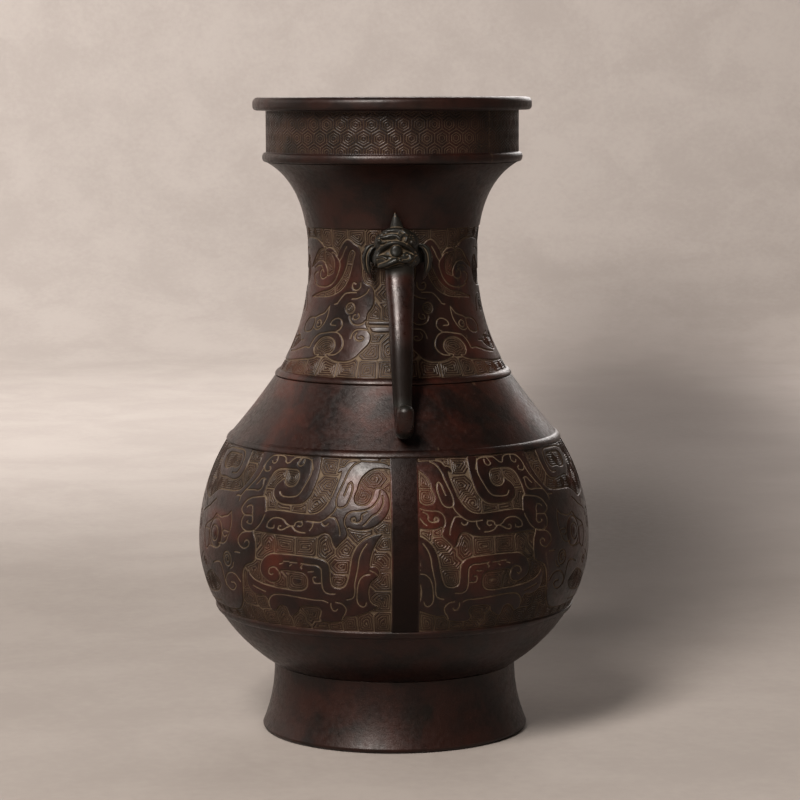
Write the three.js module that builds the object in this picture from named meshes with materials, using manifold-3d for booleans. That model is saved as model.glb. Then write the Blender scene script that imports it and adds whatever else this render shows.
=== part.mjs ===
// A cast bronze hu, a wine jar with two beast-head handles, in millimetres with +Z up.
// The origin is the middle of the foot's underside. The handles lie on the X axis.

import * as THREE from "three";
import { mergeVertices } from "three/addons/utils/BufferGeometryUtils.js";
import Module from "manifold-3d";

const wasm = await Module();
wasm.setup();

// Heights of the stages of the outline, from the foot up
const footHeight = 45.3;
const footToWidest = 82.7;
const widestToShoulderRib = 71;
const shoulderSlopeHeight = 38.3;
const neckJointToWaist = 78.7;
const waistToBandTop = 20;
const funnelHeight = 41.5;
const collarHeight = 34;
const lipHeight = 8.5;

// Outer radii of the same stages
const footTopRadius = 80.4;
const footFlare = 8.1;
const widestRadius = 130;
const shoulderRibRadius = 108;
const neckJointRadius = 78.2;
const waistRadius = 56;
const bandTopFlare = 1.6;
const collarRadius = 83.3;
const funnelInsideCollar = 0.7;
const lipOverhang = 8.6;

// How the curves between the stages swell
const footFlarePower = 2.2;
const neckCurvePower = 2.35;
const shoulderSag = 0.8;
const funnelFirstHandle = new THREE.Vector2(1.8, 11);
const funnelLastHandle = new THREE.Vector2(18.4, 10.6);

// Walls, edges and raised ribs
const bodyWall = 3.2;
const collarWall = 3.6;
const footWall = 6.5;
const footEdgeRound = 3;
const lipRound = 3.6;
const rimRound = 1.2;
const neckRibHeight = 3.6;
const neckRibProud = 1.2;
const shoulderRibHeight = 4;
const bellyRibHeight = 4.6;
const bellyRibAboveFoot = 35.4;
const bodyRibProud = 1.2;
const collarRibHeight = 6.3;
const collarRibProud = 2.5;

// Lap joints between the cast sections, and the plate in the foot
const jointGap = 0.3;
const lapHeight = 7.5;
const lapWall = 2.5;
const footSeatDepth = 7.5;
const footSeatWall = 4.4;
const footLedgeWidth = 6.5;
const footLedgeThickness = 4;
const basePlateThickness = 4;

// Beast heads on the neck
const headAboveWaist = 7;
const headHeight = 27;
const headWidth = 25.5;
const headReach = 25;
const browHeight = 7;
const browWidth = 24;
const jawWidth = 24;
const jawDepth = 19;
const jawHeight = 14;
const jawAboveMouth = 6;
const crestHeight = 12;
const crestWidth = 7;
const earRadius = 6;
const earThickness = 8;
const earSpread = 13.5;
const tenonWidth = 9;
const tenonHeight = 12;
const tenonInside = 7.5;
const headPinRadius = 1.6;
const headPinLength = 22;

// Trunks that hang from the heads to the shoulder
const trunkSocketDepth = 8;
const trunkTailAboveRib = 13.4;
const trunkStandoffs = [19, 22.2, 26.3, 29.2, 29, 26.2, 21.2, 15, 8.4];
const trunkTopWidth = 18.2;
const trunkTailWidth = 11.3;
const trunkTopDepth = 12.6;
const trunkTailDepth = 10.8;
const trunkCurl = [[5.2, 0], [9.4, 5.2], [9.2, 11.6]];
const tailRivetRadius = 2.4;
const tailRivetHeadRadius = 4.6;
const tailRivetHeadThickness = 2;
const tailRivetAboveTail = 4;

// Numbers of facets
const roundSides = 48;
const trunkSides = 12;
const trunkRings = 28;
const outlineSteps = { foot: 5, lowerBelly: 4, upperBelly: 4, shoulder: 2, neck: 6, funnel: 6 };

// Levels that follow from the heights
const widestLevel = footHeight + footToWidest;
const shoulderRibLevel = widestLevel + widestToShoulderRib;
const neckJointLevel = shoulderRibLevel + shoulderSlopeHeight;
const waistLevel = neckJointLevel + neckJointToWaist;
const bandTopLevel = waistLevel + waistToBandTop;
const collarLevel = bandTopLevel + funnelHeight;
const lipLevel = collarLevel + collarHeight;
const rimLevel = lipLevel + lipHeight;

// Radii that follow from their neighbours
const footEdgeRadius = footTopRadius + footFlare;
const bandTopRadius = waistRadius + bandTopFlare;
const funnelTopRadius = collarRadius - funnelInsideCollar;
const lipRadius = collarRadius + lipOverhang;

const bronze = {
  body: { color: 0x3a211b, roughness: 0.42, metalness: 0.85 },
  handle: { color: 0x2f1f1b, roughness: 0.38, metalness: 0.85 },
  fitting: { color: 0x4a3524, roughness: 0.6, metalness: 0.8 },
};

// The outer outline, radius at a level
function ellipseSemiHeight(rise, endRadius) {
  return rise / Math.sqrt(1 - (endRadius / widestRadius) ** 2);
}

function bellyRadius(level) {
  const isBelow = level < widestLevel;
  const semiHeight = isBelow
    ? ellipseSemiHeight(footToWidest, footTopRadius)
    : ellipseSemiHeight(widestToShoulderRib, shoulderRibRadius);
  return widestRadius * Math.sqrt(1 - ((level - widestLevel) / semiHeight) ** 2);
}

function shoulderRadius(level) {
  const share = (level - shoulderRibLevel) / shoulderSlopeHeight;
  const straight = shoulderRibRadius + (neckJointRadius - shoulderRibRadius) * share;
  return straight - shoulderSag * Math.sin(Math.PI * share);
}

function neckRadius(level) {
  if (level < waistLevel) {
    const share = (waistLevel - level) / neckJointToWaist;
    return waistRadius + (neckJointRadius - waistRadius) * share ** neckCurvePower;
  }
  const share = (level - waistLevel) / waistToBandTop;
  return waistRadius + (bandTopRadius - waistRadius) * share ** 2;
}

function bodyRadius(level) {
  if (level < shoulderRibLevel) {
    return bellyRadius(level);
  }
  return level < neckJointLevel ? shoulderRadius(level) : neckRadius(level);
}

// Points of a stretch of outline, with both ends
function stretch(radiusAt, low, high, steps) {
  return Array.from({ length: steps + 1 }, (_, step) => {
    const level = low + (high - low) * (step / steps);
    return new THREE.Vector2(radiusAt(level), level);
  });
}

// A half-round rib that stands on a stretch of outline
function rib(radiusAt, low, height, proud) {
  const facets = 4;
  return Array.from({ length: facets + 1 }, (_, step) => {
    const turn = Math.PI * (step / facets);
    const level = low + height * (1 - Math.cos(turn)) / 2;
    return new THREE.Vector2(radiusAt(level) + proud * Math.sin(turn), level);
  });
}

function funnelPoints() {
  const start = new THREE.Vector2(bandTopRadius, bandTopLevel);
  const end = new THREE.Vector2(funnelTopRadius, collarLevel);
  const curve = new THREE.CubicBezierCurve(
    start,
    start.clone().add(funnelFirstHandle),
    end.clone().sub(funnelLastHandle),
    end,
  );
  return curve.getPoints(outlineSteps.funnel);
}

// The inner wall: each outline point moved inwards, square to the outline
function insideOf(outline, wall) {
  return outline.map((point, index) => {
    const before = outline[Math.max(index - 1, 0)];
    const after = outline[Math.min(index + 1, outline.length - 1)];
    const along = after.clone().sub(before).normalize();
    return new THREE.Vector2(point.x - along.y * wall, point.y + along.x * wall);
  });
}

// Solids of revolution about Z from a closed outline of radius and level
function latheSolid(outline) {
  const closed = [...outline, outline[0].clone()];
  return new THREE.LatheGeometry(closed, roundSides).rotateX(Math.PI / 2);
}

function toManifold(geometry) {
  const bare = geometry.clone();
  bare.deleteAttribute("normal");
  bare.deleteAttribute("uv");
  const welded = mergeVertices(bare, 1e-4);
  const mesh = new wasm.Mesh({
    numProp: 3,
    vertProperties: new Float32Array(welded.getAttribute("position").array),
    triVerts: new Uint32Array(welded.getIndex().array),
  });
  return new wasm.Manifold(mesh);
}

function toGeometry(solid) {
  const mesh = solid.getMesh();
  const geometry = new THREE.BufferGeometry();
  geometry.setAttribute("position", new THREE.BufferAttribute(mesh.vertProperties, 3));
  geometry.setIndex(new THREE.BufferAttribute(mesh.triVerts, 1));
  geometry.computeVertexNormals();
  return geometry;
}

function union(solids) {
  return solids.reduce((whole, solid) => whole.add(solid));
}

// The sides on which the handles stand, as turns about Z
const sides = { right: 0, left: Math.PI };

function bothSides(geometry) {
  return Object.values(sides).map((turn) => toManifold(geometry.clone().rotateZ(turn)));
}

// Mouth: collar with its rib and rolled lip
function mouthCollarGeometry() {
  const inner = collarRadius - collarWall;
  const low = collarLevel + jointGap;
  const lipTurns = 4;
  const lipMiddle = rimLevel - lipRound;
  const outline = [new THREE.Vector2(inner, low)];
  outline.push(...rib(() => collarRadius, low, collarRibHeight, collarRibProud));
  outline.push(new THREE.Vector2(collarRadius, lipLevel));
  outline.push(new THREE.Vector2(lipRadius - rimRound, lipLevel));
  outline.push(new THREE.Vector2(lipRadius, lipLevel + rimRound));
  for (let step = 0; step <= lipTurns; step += 1) {
    const turn = (Math.PI / 2) * (step / lipTurns);
    const radius = lipRadius - lipRound * (1 - Math.cos(turn));
    outline.push(new THREE.Vector2(radius, lipMiddle + lipRound * Math.sin(turn)));
  }
  outline.push(new THREE.Vector2(inner + rimRound, rimLevel));
  outline.push(new THREE.Vector2(inner, rimLevel - rimRound));
  return latheSolid(outline);
}

// Neck: lap socket at its foot, spigot for the collar at its top
const neckLapLevel = neckJointLevel + jointGap + lapHeight;
const neckSocketRadius = neckRadius(neckLapLevel) - lapWall;
const collarSpigotRadius = collarRadius - collarWall - jointGap;

const neckLow = neckJointLevel + jointGap;

function neckOutline() {
  return [
    ...rib(neckRadius, neckLow, neckRibHeight, neckRibProud),
    ...stretch(neckRadius, neckLow + neckRibHeight, bandTopLevel, outlineSteps.neck).slice(1, -1),
    ...funnelPoints(),
  ];
}

function neckGeometry() {
  const spigotInner = collarSpigotRadius - lapWall;
  const plain = [...stretch(neckRadius, neckLow, bandTopLevel, outlineSteps.neck), ...funnelPoints().slice(1)];
  const inner = insideOf(plain, bodyWall).filter(
    (point) => point.y > neckLapLevel + 1 && point.x < spigotInner - 1,
  );
  const outline = [
    new THREE.Vector2(neckSocketRadius, neckLow),
    ...neckOutline(),
    new THREE.Vector2(collarSpigotRadius, collarLevel),
    new THREE.Vector2(collarSpigotRadius, collarLevel + lapHeight),
    new THREE.Vector2(spigotInner, collarLevel + lapHeight),
    new THREE.Vector2(spigotInner, collarLevel + jointGap),
    ...inner.reverse(),
    new THREE.Vector2(neckRadius(neckLapLevel) - bodyWall, neckLapLevel),
    new THREE.Vector2(neckSocketRadius, neckLapLevel),
  ];
  let solid = toManifold(latheSolid(outline));
  for (const hole of bothSides(tenonGeometry(jointGap))) {
    solid = solid.subtract(hole);
  }
  return toGeometry(solid);
}

// Belly: spigots into the neck above and into the foot below
const footSpigotRadius = footTopRadius - footSeatWall - jointGap;
const footLedgeLevel = footHeight - footSeatDepth;
const baseRadius = footSpigotRadius - bodyWall - jointGap;

function bellyGeometry() {
  const low = footHeight + jointGap;
  const ribLow = footHeight + bellyRibAboveFoot;
  const ribHigh = ribLow + bellyRibHeight;
  const shoulderRibLow = shoulderRibLevel - shoulderRibHeight;
  const outer = [
    ...stretch(bellyRadius, low, ribLow, outlineSteps.lowerBelly).slice(0, -1),
    ...rib(bellyRadius, ribLow, bellyRibHeight, bodyRibProud),
    ...stretch(bellyRadius, ribHigh, widestLevel, outlineSteps.upperBelly).slice(1),
    ...stretch(bellyRadius, widestLevel, shoulderRibLow, outlineSteps.lowerBelly).slice(1, -1),
    ...rib(bellyRadius, shoulderRibLow, shoulderRibHeight, bodyRibProud),
    ...stretch(shoulderRadius, shoulderRibLevel, neckJointLevel, outlineSteps.shoulder).slice(1),
  ];
  const plain = [
    ...stretch(bellyRadius, low, ribHigh, outlineSteps.lowerBelly),
    ...stretch(bellyRadius, ribHigh, widestLevel, outlineSteps.upperBelly).slice(1),
    ...stretch(bellyRadius, widestLevel, shoulderRibLevel, outlineSteps.lowerBelly).slice(1),
    ...stretch(shoulderRadius, shoulderRibLevel, neckJointLevel, outlineSteps.shoulder).slice(1),
  ];
  const neckSpigotRadius = neckSocketRadius - jointGap;
  const neckSpigotInner = neckSpigotRadius - lapWall;
  const baseInner = footSpigotRadius - bodyWall;
  const inner = insideOf(plain, bodyWall).filter(
    (point) => point.y > low + 1 && point.y < neckJointLevel - 1 && point.x > baseInner,
  );
  const outline = [
    new THREE.Vector2(baseInner, footLedgeLevel + jointGap),
    new THREE.Vector2(footSpigotRadius, footLedgeLevel + jointGap),
    new THREE.Vector2(footSpigotRadius, low),
    ...outer,
    new THREE.Vector2(neckSpigotRadius, neckJointLevel),
    new THREE.Vector2(neckSpigotRadius, neckJointLevel + lapHeight),
    new THREE.Vector2(neckSpigotInner, neckJointLevel + lapHeight),
    new THREE.Vector2(neckSpigotInner, neckJointLevel - bodyWall),
    ...inner.reverse(),
    new THREE.Vector2(baseInner, low + bodyWall / 2),
  ];
  let solid = toManifold(latheSolid(outline));
  for (const hole of bothSides(tailRivetGeometry(jointGap))) {
    solid = solid.subtract(hole);
  }
  return toGeometry(solid);
}

// Foot: a flared ring with a ledge that carries the belly's spigot and the base plate
function footRadius(level) {
  const share = (footHeight - level) / (footHeight - footEdgeRound);
  return footTopRadius + (footEdgeRadius - footTopRadius) * share ** footFlarePower;
}

function footGeometry() {
  const seatRadius = footSpigotRadius + jointGap;
  const ledgeInner = seatRadius - footLedgeWidth;
  const ledgeBottom = footLedgeLevel - footLedgeThickness;
  const edgeTurns = 4;
  const outline = [new THREE.Vector2(footEdgeRadius - footWall, 0)];
  for (let step = 0; step <= edgeTurns; step += 1) {
    const turn = (Math.PI / 2) * (step / edgeTurns);
    const radius = footEdgeRadius - footEdgeRound * (1 - Math.sin(turn));
    outline.push(new THREE.Vector2(radius, footEdgeRound * (1 - Math.cos(turn))));
  }
  outline.push(...stretch(footRadius, footEdgeRound, footHeight, outlineSteps.foot).slice(1));
  outline.push(new THREE.Vector2(seatRadius, footHeight));
  outline.push(new THREE.Vector2(seatRadius, footLedgeLevel));
  outline.push(new THREE.Vector2(ledgeInner, footLedgeLevel));
  outline.push(new THREE.Vector2(ledgeInner, ledgeBottom));
  outline.push(new THREE.Vector2(seatRadius - jointGap, ledgeBottom));
  return latheSolid(outline);
}

function basePlateGeometry() {
  const low = footLedgeLevel + jointGap;
  const outline = [
    new THREE.Vector2(0, low),
    new THREE.Vector2(baseRadius, low),
    new THREE.Vector2(baseRadius, low + basePlateThickness),
    new THREE.Vector2(0, low + basePlateThickness),
  ];
  return new THREE.LatheGeometry(outline, roundSides).rotateX(Math.PI / 2);
}

// Handles, drawn on the +X side
const headLevel = waistLevel + headAboveWaist;
const headBottomLevel = headLevel - headHeight / 2;
const neckInnerAtHead = neckRadius(headLevel) - bodyWall;

function tenonGeometry(clearance) {
  const start = neckInnerAtHead - tenonInside - clearance;
  const end = neckRadius(headLevel) + headReach / 3;
  const width = tenonWidth + 2 * clearance;
  const height = tenonHeight + 2 * clearance;
  return new THREE.BoxGeometry(end - start, width, height)
    .translate((start + end) / 2, 0, headLevel);
}

function headPinGeometry(clearance) {
  const centre = neckInnerAtHead - jointGap - headPinRadius;
  return new THREE.CylinderGeometry(headPinRadius + clearance, headPinRadius + clearance, headPinLength, 16)
    .rotateX(Math.PI / 2)
    .translate(centre, 0, headLevel);
}

// The trunk's centre line: from the head's mouth down to the shoulder, then the curl
function trunkPath() {
  const topLevel = headBottomLevel - 1;
  const tailLevel = shoulderRibLevel + trunkTailAboveRib;
  const last = trunkStandoffs.length - 1;
  const points = trunkStandoffs.map((standoff, index) => {
    const level = topLevel + (tailLevel - topLevel) * (index / last);
    return new THREE.Vector3(bodyRadius(level) + standoff, 0, level);
  });
  const tail = points[last];
  const curl = trunkCurl.map(([out, up]) => new THREE.Vector3(tail.x + out, 0, tail.z + up));
  const socketEnd = points[0].clone().setZ(topLevel + trunkSocketDepth);
  return new THREE.CatmullRomCurve3([socketEnd, ...points, ...curl], false, "centripetal");
}

function trunkGeometry(clearance) {
  const path = trunkPath();
  const acrossY = new THREE.Vector3(0, 1, 0);
  const positions = [];
  const triangles = [];
  for (let ring = 0; ring <= trunkRings; ring += 1) {
    const share = ring / trunkRings;
    const centre = path.getPointAt(share);
    const along = path.getTangentAt(share);
    const side = along.clone().cross(acrossY).normalize();
    const endward = Number(ring === trunkRings) - Number(ring === 0);
    centre.addScaledVector(along, endward * clearance);
    const taper = Math.min(share / 0.7, 1);
    const roundEnd = Math.sqrt(1 - Math.max((share - 0.95) / 0.05, 0) ** 2 * 0.75);
    const halfWidth = roundEnd * THREE.MathUtils.lerp(trunkTopWidth, trunkTailWidth, taper) / 2 + clearance;
    const halfDepth = roundEnd * THREE.MathUtils.lerp(trunkTopDepth, trunkTailDepth, taper) / 2 + clearance;
    for (let corner = 0; corner < trunkSides; corner += 1) {
      const turn = (2 * Math.PI * corner) / trunkSides;
      const point = centre.clone()
        .addScaledVector(acrossY, halfWidth * Math.cos(turn))
        .addScaledVector(side, halfDepth * Math.sin(turn));
      positions.push(...point.toArray());
    }
  }
  for (let ring = 0; ring < trunkRings; ring += 1) {
    for (let corner = 0; corner < trunkSides; corner += 1) {
      const next = (corner + 1) % trunkSides;
      const a = ring * trunkSides + corner;
      const b = ring * trunkSides + next;
      triangles.push(a, b, a + trunkSides, b, b + trunkSides, a + trunkSides);
    }
  }
  for (let corner = 1; corner < trunkSides - 1; corner += 1) {
    const end = trunkRings * trunkSides;
    triangles.push(0, corner + 1, corner, end, end + corner, end + corner + 1);
  }
  const geometry = new THREE.BufferGeometry();
  geometry.setAttribute("position", new THREE.Float32BufferAttribute(positions, 3));
  geometry.setIndex(triangles);
  return geometry;
}

// The rivet stands square to the shoulder and runs into the trunk's bend
function tailRivetGeometry(clearance) {
  const level = shoulderRibLevel + trunkTailAboveRib + tailRivetAboveTail - trunkTailDepth / 2;
  const step = 0.5;
  const slope = (shoulderRadius(level + step) - shoulderRadius(level - step)) / (2 * step);
  const tilt = Math.atan(-slope);
  const length = bodyWall + jointGap + tailRivetHeadThickness + trunkTailDepth * 0.75;
  const headEnd = -bodyWall - jointGap - tailRivetHeadThickness;
  const shank = tailRivetRadius + clearance;
  const head = tailRivetHeadRadius + clearance;
  const outline = [
    new THREE.Vector2(0, headEnd - clearance),
    new THREE.Vector2(head, headEnd - clearance),
    new THREE.Vector2(head, headEnd + tailRivetHeadThickness + clearance),
    new THREE.Vector2(shank, headEnd + tailRivetHeadThickness + clearance),
    new THREE.Vector2(shank, headEnd + length + clearance),
    new THREE.Vector2(0, headEnd + length + clearance),
  ];
  return new THREE.LatheGeometry(outline, 16)
    .rotateZ(-Math.PI / 2)
    .rotateY(-tilt)
    .translate(shoulderRadius(level), 0, level);
}

// The beast head: skull, brow, nose, ear scrolls and crest, cut to the neck's curve
function headGeometry() {
  const back = neckRadius(headLevel);
  const middle = back + headReach / 2;
  const skull = new THREE.SphereGeometry(1, 16, 10)
    .scale(headReach * 0.54, headWidth / 2, headHeight / 2)
    .translate(middle - 1, 0, headLevel);
  const brow = new THREE.SphereGeometry(1, 12, 8)
    .scale(headReach * 0.4, browWidth / 2, browHeight / 2)
    .translate(middle + headReach * 0.06, 0, headLevel + headHeight * 0.3);
  const jaw = new THREE.SphereGeometry(1, 16, 8)
    .scale(jawDepth / 2, jawWidth / 2, jawHeight / 2)
    .translate(trunkPath().getPoint(0).x, 0, headBottomLevel + jawAboveMouth);
  const crest = new THREE.ConeGeometry(crestWidth / 2, crestHeight * 1.6, 10)
    .rotateX(Math.PI / 2)
    .translate(back + crestWidth * 0.75, 0, headLevel + headHeight / 2 + crestHeight * 0.1);
  const ears = [-1, 1].map((side) => new THREE.CylinderGeometry(earRadius, earRadius, earThickness, 14)
    .rotateZ(Math.PI / 2)
    .translate(back + earThickness * 0.6, side * earSpread, headLevel - headHeight * 0.08));
  const solids = [skull, brow, jaw, crest, ...ears, tenonGeometry(0)].map(toManifold);
  const clearance = new THREE.Vector2(jointGap, 0);
  const neckBlank = latheSolid([
    new THREE.Vector2(neckInnerAtHead - bodyWall, neckLow),
    ...neckOutline().map((point) => point.clone().add(clearance)),
    new THREE.Vector2(neckInnerAtHead - bodyWall, collarLevel),
  ]);
  return toGeometry(union(solids.slice(0, -1))
    .subtract(toManifold(neckBlank))
    .add(solids.at(-1))
    .subtract(toManifold(headPinGeometry(jointGap)))
    .subtract(toManifold(trunkGeometry(jointGap))));
}

function trunkCutForRivet() {
  return toGeometry(toManifold(trunkGeometry(0)).subtract(toManifold(tailRivetGeometry(jointGap))));
}

// The assembly
const group = new THREE.Group();

function addPiece(parent, name, geometry, finish) {
  const mesh = new THREE.Mesh(geometry, new THREE.MeshStandardMaterial(finish));
  mesh.name = name;
  parent.add(mesh);
}

addPiece(group, "foot_ring", footGeometry(), bronze.body);
addPiece(group, "base_plate", basePlateGeometry(), bronze.fitting);
addPiece(group, "belly", bellyGeometry(), bronze.body);
addPiece(group, "neck", neckGeometry(), bronze.body);
addPiece(group, "mouth_collar", mouthCollarGeometry(), bronze.body);

for (const [side, turn] of Object.entries(sides)) {
  const handle = new THREE.Group();
  handle.rotation.z = turn;
  group.add(handle);
  addPiece(handle, `handle_head_${side}`, headGeometry(), bronze.handle);
  addPiece(handle, `handle_trunk_${side}`, trunkCutForRivet(), bronze.handle);
  addPiece(handle, `head_pin_${side}`, headPinGeometry(0), bronze.fitting);
  addPiece(handle, `tail_rivet_${side}`, tailRivetGeometry(0), bronze.fitting);
}

export default group;
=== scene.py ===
"""Looks of a cast bronze hu, a wine jar with beast-head handles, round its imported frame.

Sizes are in millimetres in the object's own frame and become metres where a mesh is made.
An ornament is drawn flat: across is the distance along a reference circle from the handle's
middle, and up is the level above the floor.
"""

import math

import bmesh
import bpy
import numpy as np
from mathutils import Matrix, Vector
from mathutils.kdtree import KDTree


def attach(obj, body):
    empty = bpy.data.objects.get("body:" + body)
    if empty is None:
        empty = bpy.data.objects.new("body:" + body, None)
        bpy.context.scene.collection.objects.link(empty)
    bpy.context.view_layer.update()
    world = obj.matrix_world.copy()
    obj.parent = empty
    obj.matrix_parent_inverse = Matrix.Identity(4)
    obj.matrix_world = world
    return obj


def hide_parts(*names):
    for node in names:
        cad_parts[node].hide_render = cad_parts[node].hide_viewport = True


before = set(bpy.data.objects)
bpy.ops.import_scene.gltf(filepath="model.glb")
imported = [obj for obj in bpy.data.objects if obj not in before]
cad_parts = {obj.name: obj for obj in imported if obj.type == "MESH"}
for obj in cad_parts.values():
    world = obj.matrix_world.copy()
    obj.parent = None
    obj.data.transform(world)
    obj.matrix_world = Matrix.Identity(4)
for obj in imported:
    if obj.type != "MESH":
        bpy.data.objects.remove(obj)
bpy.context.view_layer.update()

MILLIMETRE = 0.001

# Levels of the jar's stages
FOOT_TOP = 45.3
WIDEST = 128.0
SHOULDER_RIB = 199.0
NECK_JOINT = 237.3
WAIST = 316.0
BAND_TOP = 336.0
COLLAR = 377.5
LIP = 411.5
RIM = 420.0
JOINT_GAP = 0.3

# Outer radii of the same stages
FOOT_TOP_RADIUS = 80.4
FOOT_EDGE_RADIUS = 88.5
WIDEST_RADIUS = 130.0
SHOULDER_RIB_RADIUS = 108.0
NECK_JOINT_RADIUS = 78.2
WAIST_RADIUS = 56.0
BAND_TOP_RADIUS = 57.6
COLLAR_RADIUS = 83.3
LIP_RADIUS = 91.9
BODY_WALL = 3.2

# How the outline's stretches curve
SHOULDER_SAG = 0.8
NECK_CURVE = 2.35
FOOT_CURVE = 2.2
FOOT_ROUND = 3

# Raised ribs: lowest level and height
BELLY_RIB = (80.7, 4.6)
SHOULDER_RIB_BAND = (195.0, 4.0)
NECK_RIB = (237.6, 3.6)
COLLAR_RIB = (377.8, 6.3)
BODY_RIB_PROUD = 1.2
COLLAR_RIB_PROUD = 2.5

# Relief of the ornament, measured outwards from the plain outline
GROUND_BOTTOM = -0.9
RIDGE_HEIGHT = 0.55
RIDGE_POWER = 0.7
BODY_EDGE = -0.08
BODY_SLOPE = 0.5
BODY_CROWN = 0.14
CROWN_REACH = 1.6
LINE_DEPTH = 0.5
LINE_EDGE = (0.2, 0.65)
THUNDER_PITCH = 1.35
THUNDER_CELL = 11.6
CLOSEST_CELLS = 0.8
LEAST_ROOM = 0.9
FAR = 99.0

# Columns round the turned meshes and steps between their rows
BELLY_COLUMNS = 2400
NECK_COLUMNS = 1200
COLLAR_COLUMNS = 1560
FOOT_COLUMNS = 480
BAND_STEP = 0.36
RIB_STEP = 0.4
STRAIGHT_STEP = 3
INNER_UNWRAP = 0.35

# How many columns the ornament's mirror axis is turned back from the handle, the half width of the strap
# along it, and the radius that the neck's ornament is drawn on
AXIS_SHIFT_COLUMNS = 20
STRAP_HALF_WIDTH = 8.5
NECK_REFERENCE = 62.0


def ellipse_radius(level, rise, end_radius):
    semi = rise / math.sqrt(1 - (end_radius / WIDEST_RADIUS) ** 2)
    return WIDEST_RADIUS * np.sqrt(1 - ((level - WIDEST) / semi) ** 2)


def belly_radius(level):
    below = ellipse_radius(np.minimum(level, WIDEST), WIDEST - FOOT_TOP, FOOT_TOP_RADIUS)
    above = ellipse_radius(np.maximum(level, WIDEST), SHOULDER_RIB - WIDEST, SHOULDER_RIB_RADIUS)
    return np.where(level < WIDEST, below, above)


def shoulder_radius(level):
    share = (level - SHOULDER_RIB) / (NECK_JOINT - SHOULDER_RIB)
    sag = SHOULDER_SAG * np.sin(np.pi * share)
    return SHOULDER_RIB_RADIUS + (NECK_JOINT_RADIUS - SHOULDER_RIB_RADIUS) * share - sag


def neck_radius(level):
    down = np.maximum(WAIST - level, 0) / (WAIST - NECK_JOINT)
    up = np.maximum(level - WAIST, 0) / (BAND_TOP - WAIST)
    below = (NECK_JOINT_RADIUS - WAIST_RADIUS) * down**NECK_CURVE
    return WAIST_RADIUS + below + (BAND_TOP_RADIUS - WAIST_RADIUS) * up**2


def foot_radius(level):
    share = (FOOT_TOP - level) / (FOOT_TOP - FOOT_ROUND)
    return FOOT_TOP_RADIUS + (FOOT_EDGE_RADIUS - FOOT_TOP_RADIUS) * share**FOOT_CURVE


def body_radius(level):
    if level < SHOULDER_RIB:
        return float(belly_radius(level))
    return float(shoulder_radius(level) if level < NECK_JOINT else neck_radius(level))


# Curves


def full_turn(count):
    return np.linspace(0, 2 * np.pi, count + 1)[:-1]


def headings(points):
    """The unit direction of a line at each of its points."""
    along = np.gradient(points, axis=0)
    return along / np.linalg.norm(along, axis=1)[:, None]


def lengths_along(points):
    spans = np.linalg.norm(np.diff(points, axis=0), axis=1)
    return np.concatenate([[0], np.cumsum(spans)])


def smooth_step(low, high, value):
    share = np.clip((value - low) / (high - low), 0, 1)
    return share * share * (3 - 2 * share)


def smooth_line(points, closed=False, spacing=0.3):
    """A centripetal Catmull-Rom curve through the points, sampled. A point given twice is a corner."""
    given = np.array(points, float)
    if closed:
        control = np.vstack([given[-1:], given, given[:2]])
    else:
        control = np.vstack([2 * given[0] - given[1], given, 2 * given[-1] - given[-2]])
    samples = []
    for before, start, end, after in zip(control, control[1:], control[2:], control[3:]):
        pairs = ((before, start), (start, end), (end, after))
        knots = [max(np.linalg.norm(b - a), 1e-6) ** 0.5 for a, b in pairs]
        span = end - start
        leave = span + knots[1] * ((start - before) / knots[0] - (end - before) / (knots[0] + knots[1]))
        arrive = span + knots[1] * ((after - end) / knots[2] - (after - start) / (knots[1] + knots[2]))
        count = max(int(np.linalg.norm(span) / spacing), 1)
        t = np.arange(count)[:, None] / count
        samples.append(
            (2 * t**3 - 3 * t**2 + 1) * start
            + (t**3 - 2 * t**2 + t) * leave
            + (3 * t**2 - 2 * t**3) * end
            + (t**3 - t**2) * arrive
        )
    if not closed:
        samples.append(given[-1:])
    return np.vstack(samples)


def ring(across, up, radius):
    turns = np.linspace(0, 2 * np.pi, 32)
    return [(across + radius * math.cos(t), up + radius * math.sin(t)) for t in turns]


def spiral(across, up, radius, turns, start=0.0):
    steps = np.linspace(0, 1, int(16 * turns) + 2)
    reach = radius * (1 - 0.75 * steps)
    angles = start + 2 * np.pi * turns * steps
    return list(zip(across + reach * np.cos(angles), up + reach * np.sin(angles)))


def inside_row(loop, across, up):
    """Which points of one level lie inside a closed loop."""
    start, end = loop, np.roll(loop, -1, axis=0)
    cut = (start[:, 1] > up) != (end[:, 1] > up)
    share = (up - start[cut, 1]) / (end[cut, 1] - start[cut, 1])
    crossings = start[cut, 0] + share * (end[cut, 0] - start[cut, 0])
    return np.sum(across[:, None] < crossings, axis=1) % 2 == 1


def inside_grid(loops, across, levels):
    marks = np.zeros((len(levels), len(across)), bool)
    for loop in loops:
        for row, up in enumerate(levels):
            marks[row] |= inside_row(loop, across, up)
    return marks


def inside_point(loops, point):
    here = np.array([point[0]])
    return any(inside_row(loop, here, point[1])[0] for loop in loops)


def outline_samples(bodies, pockets, limits):
    """Points on the outline of the joined bodies, without the stretches that lie inside another."""
    kept = []
    for index, loop in enumerate(bodies):
        others = bodies[:index] + bodies[index + 1 :]
        kept += [p for p in loop if not inside_point(others, p) and not inside_point(pockets, p)]
    for loop in pockets:
        kept += [p for p in loop if inside_point(bodies, p)]
    low, high = limits
    return [p for p in kept if low < p[0] < high]


def nearest(samples, points):
    """The distance from each point to the nearest of the samples."""
    tree = KDTree(len(samples))
    for index, sample in enumerate(samples):
        tree.insert((sample[0], sample[1], 0), index)
    tree.balance()
    return np.array([tree.find((across, up, 0))[2] for across, up in points])


def grid_distances(samples, across, levels):
    points = [(place, up) for up in levels for place in across]
    return nearest(samples, points).reshape(len(levels), len(across))


# Ornament of the belly. Across runs from the handle to the middle of the face on the jar's front

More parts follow.
